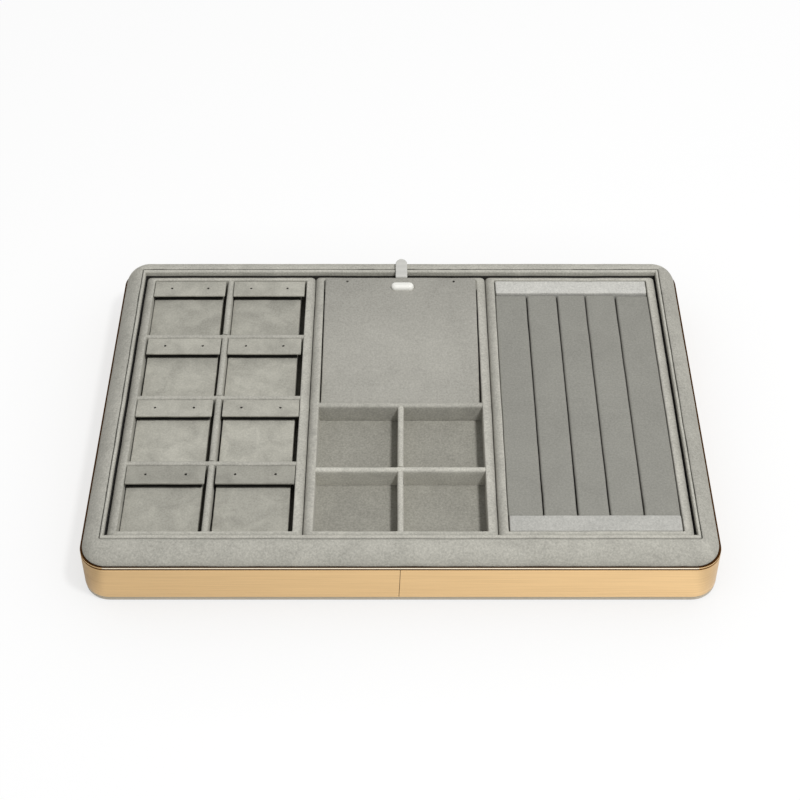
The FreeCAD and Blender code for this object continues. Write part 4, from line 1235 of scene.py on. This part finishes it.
class TRAY_OT_stage(bpy.types.Operator):
    """Set the floor, the lights and the camera"""

    bl_idname = "tray.stage"
    bl_label = "Stage"

    def execute(self, context):
        scene, stage = context.scene, context.scene.tray_stage
        scene.view_settings.view_transform = "Standard"
        self.make_floor(stage)
        self.light_world(scene, stage)
        self.hang_key(scene, stage)
        self.aim_camera(scene, stage)
        return {"FINISHED"}

    def seen_directly(self, tree):
        """One for rays from the camera, in mirrors and through glass, and nought for the light that falls on
        things."""
        path = add(tree, "ShaderNodeLightPath").outputs
        some = add(tree, "ShaderNodeMath", {
            0: path["Is Camera Ray"], 1: path["Is Glossy Ray"]}, operation="MAXIMUM")
        return add(tree, "ShaderNodeMath", {
            0: some.outputs["Value"], 1: path["Is Transmission Ray"]}, operation="MAXIMUM").outputs["Value"]

    def make_floor(self, stage):
        """Pale floor. Where it is seen it glows towards white, less so close to things as a painted contact
        shadow, and in the metal's mirror it darkens to the left and beyond the tray's corners, as a painted
        reflection."""
        reach, drop = 4.0, 0.2*MM
        left_end, right_end, right_share = -350*MM, 220*MM, 0.7
        shelter_reach, corner_start, corner_end = 80*MM, 164*MM, 178*MM
        mesh = bpy.data.meshes.new("floor")
        corners = (-reach, -reach), (reach, -reach), (reach, reach), (-reach, reach)
        mesh.from_pydata([(*corner, -drop) for corner in corners], [], [(0, 1, 2, 3)])
        floor = bpy.data.objects.new("floor", mesh)
        bpy.context.scene.collection.objects.link(floor)
        material, tree, shader, place = new_finish("pale_floor")
        seen = self.seen_directly(tree)
        tone = add(tree, "ShaderNodeMix", {
            "Factor": seen, "A": stage.floor, "B": stage.floor_seen}, data_type="RGBA")
        shelter = add(tree, "ShaderNodeAmbientOcclusion", {"Distance": shelter_reach})
        bare = add(tree, "ShaderNodeMapRange", {
            "Value": shelter.outputs["AO"], "To Min": stage.floor_glow*(1 - stage.floor_contact),
            "To Max": stage.floor_glow})
        glow = add(tree, "ShaderNodeMath", {0: seen, 1: bare.outputs["Result"]}, operation="MULTIPLY")
        beside = add(tree, "ShaderNodeSeparateXYZ", {"Vector": place}).outputs["X"]
        drift = add(tree, "ShaderNodeMapRange", {
            "Value": beside, "From Min": left_end, "From Max": right_end,
            "To Min": -stage.floor_drift, "To Max": stage.floor_drift*right_share})
        out = add(tree, "ShaderNodeMath", {0: beside}, operation="ABSOLUTE")
        corner = add(tree, "ShaderNodeMapRange", {
            "Value": out.outputs["Value"], "From Min": corner_start, "From Max": corner_end,
            "To Min": 0.0, "To Max": -stage.floor_drift})
        change = add(tree, "ShaderNodeMath", {0: drift.outputs["Result"], 1: corner.outputs["Result"]})
        mirrored = add(tree, "ShaderNodeLightPath").outputs["Is Glossy Ray"]
        level = add(tree, "ShaderNodeMath", {
            0: mirrored, 1: change.outputs["Value"], 2: glow.outputs["Value"]}, operation="MULTIPLY_ADD")
        give(tree, shader, {
            "Base Color": tone.outputs["Result"], "Emission Strength": level.outputs["Value"],
            "Roughness": 0.9, "Specular IOR Level": 0.0, "Emission Color": (1, 1, 1, 1)})
        mesh.materials.append(material)

    def light_world(self, scene, stage):
        """Even light from all round, which is seen as plain white."""
        world = bpy.data.worlds.new("studio")
        world.use_nodes = True
        tree = world.node_tree
        tree.nodes.clear()
        level = add(tree, "ShaderNodeMapRange", {
            "Value": self.seen_directly(tree), "To Min": stage.fill_strength, "To Max": 1.0})
        light = add(tree, "ShaderNodeBackground", {
            "Color": (1, 1, 1, 1), "Strength": level.outputs["Result"]})
        add(tree, "ShaderNodeOutputWorld", {"Surface": light.outputs["Background"]})
        scene.world = world

    def hang_key(self, scene, stage):
        """Round lamp to the right and in front. A level face at a distance takes power*cos/(pi*distance)^2
        from it."""
        lamp = bpy.data.lights.new("key", "AREA")
        lamp.shape = "DISK"
        lamp.size = stage.key_size
        place = Vector((stage.key_aside, -stage.key_forward, 1))*stage.key_height
        upright = stage.key_height/place.length
        lamp.energy = stage.key_strength*(math.pi*place.length)**2/upright
        key = bpy.data.objects.new("key", lamp)
        key.location = place
        key.rotation_euler = place.to_track_quat("Z", "Y").to_euler()
        scene.collection.objects.link(key)

    def aim_camera(self, scene, stage):
        """Camera at the photograph's place, looking down, with its lens shifted to the photograph's frame."""
        view = bpy.data.cameras.new("photo_view")
        view.lens = view.sensor_width*stage.focal_share
        view.shift_y = stage.lens_shift
        camera = bpy.data.objects.new("photo_view", view)
        camera.location = (-stage.camera_aside, -stage.camera_back, stage.camera_up)
        camera.rotation_euler = (math.pi/2 - stage.camera_pitch, 0, 0)
        scene.collection.objects.link(camera)
        scene.camera = camera


STEPS = (
    TRAY_OT_core, TRAY_OT_band, TRAY_OT_rim, TRAY_OT_liners, TRAY_OT_insert_boxes, TRAY_OT_dividers,
    TRAY_OT_earring_cards, TRAY_OT_pendant_board, TRAY_OT_retaining_bar, TRAY_OT_pull_tab,
    TRAY_OT_ring_bars, TRAY_OT_ring_rolls, TRAY_OT_stage)


class TRAY_PT_panel(bpy.types.Panel):
    """Settings and steps of the jewelry tray"""

    bl_idname = "TRAY_PT_panel"
    bl_label = "Jewelry Tray"
    bl_space_type = "VIEW_3D"
    bl_region_type = "UI"
    bl_category = "Tray"

    def draw(self, context):
        for group in ("tray_shapes", "tray_finishes", "tray_stage"):
            settings = getattr(context.scene, group)
            column = self.layout.column()
            for name in settings.__annotations__:
                column.prop(settings, name)
        for step in STEPS:
            self.layout.operator(step.bl_idname)


SETTINGS = {"tray_shapes": TrayShapes, "tray_finishes": TrayFinishes, "tray_stage": TrayStage}


def register():
    for group in SETTINGS.values():
        bpy.utils.register_class(group)
    for step in (*STEPS, TRAY_PT_panel):
        bpy.utils.register_class(step)
    for name, group in SETTINGS.items():
        setattr(bpy.types.Scene, name, PointerProperty(type=group))


def unregister():
    for name in SETTINGS:
        delattr(bpy.types.Scene, name)
    for known in (TRAY_PT_panel, *reversed(STEPS), *SETTINGS.values()):
        bpy.utils.unregister_class(known)


def main():
    register()
    bpy.ops.tray.core()
    bpy.ops.tray.band()
    bpy.ops.tray.rim()
    bpy.ops.tray.liners()
    bpy.ops.tray.insert_boxes()
    bpy.ops.tray.dividers()
    bpy.ops.tray.earring_cards()
    bpy.ops.tray.pendant_board()
    bpy.ops.tray.retaining_bar()
    bpy.ops.tray.pull_tab()
    bpy.ops.tray.ring_bars()
    bpy.ops.tray.ring_rolls()
    bpy.ops.tray.stage()


if __name__ == "__main__":
    main()
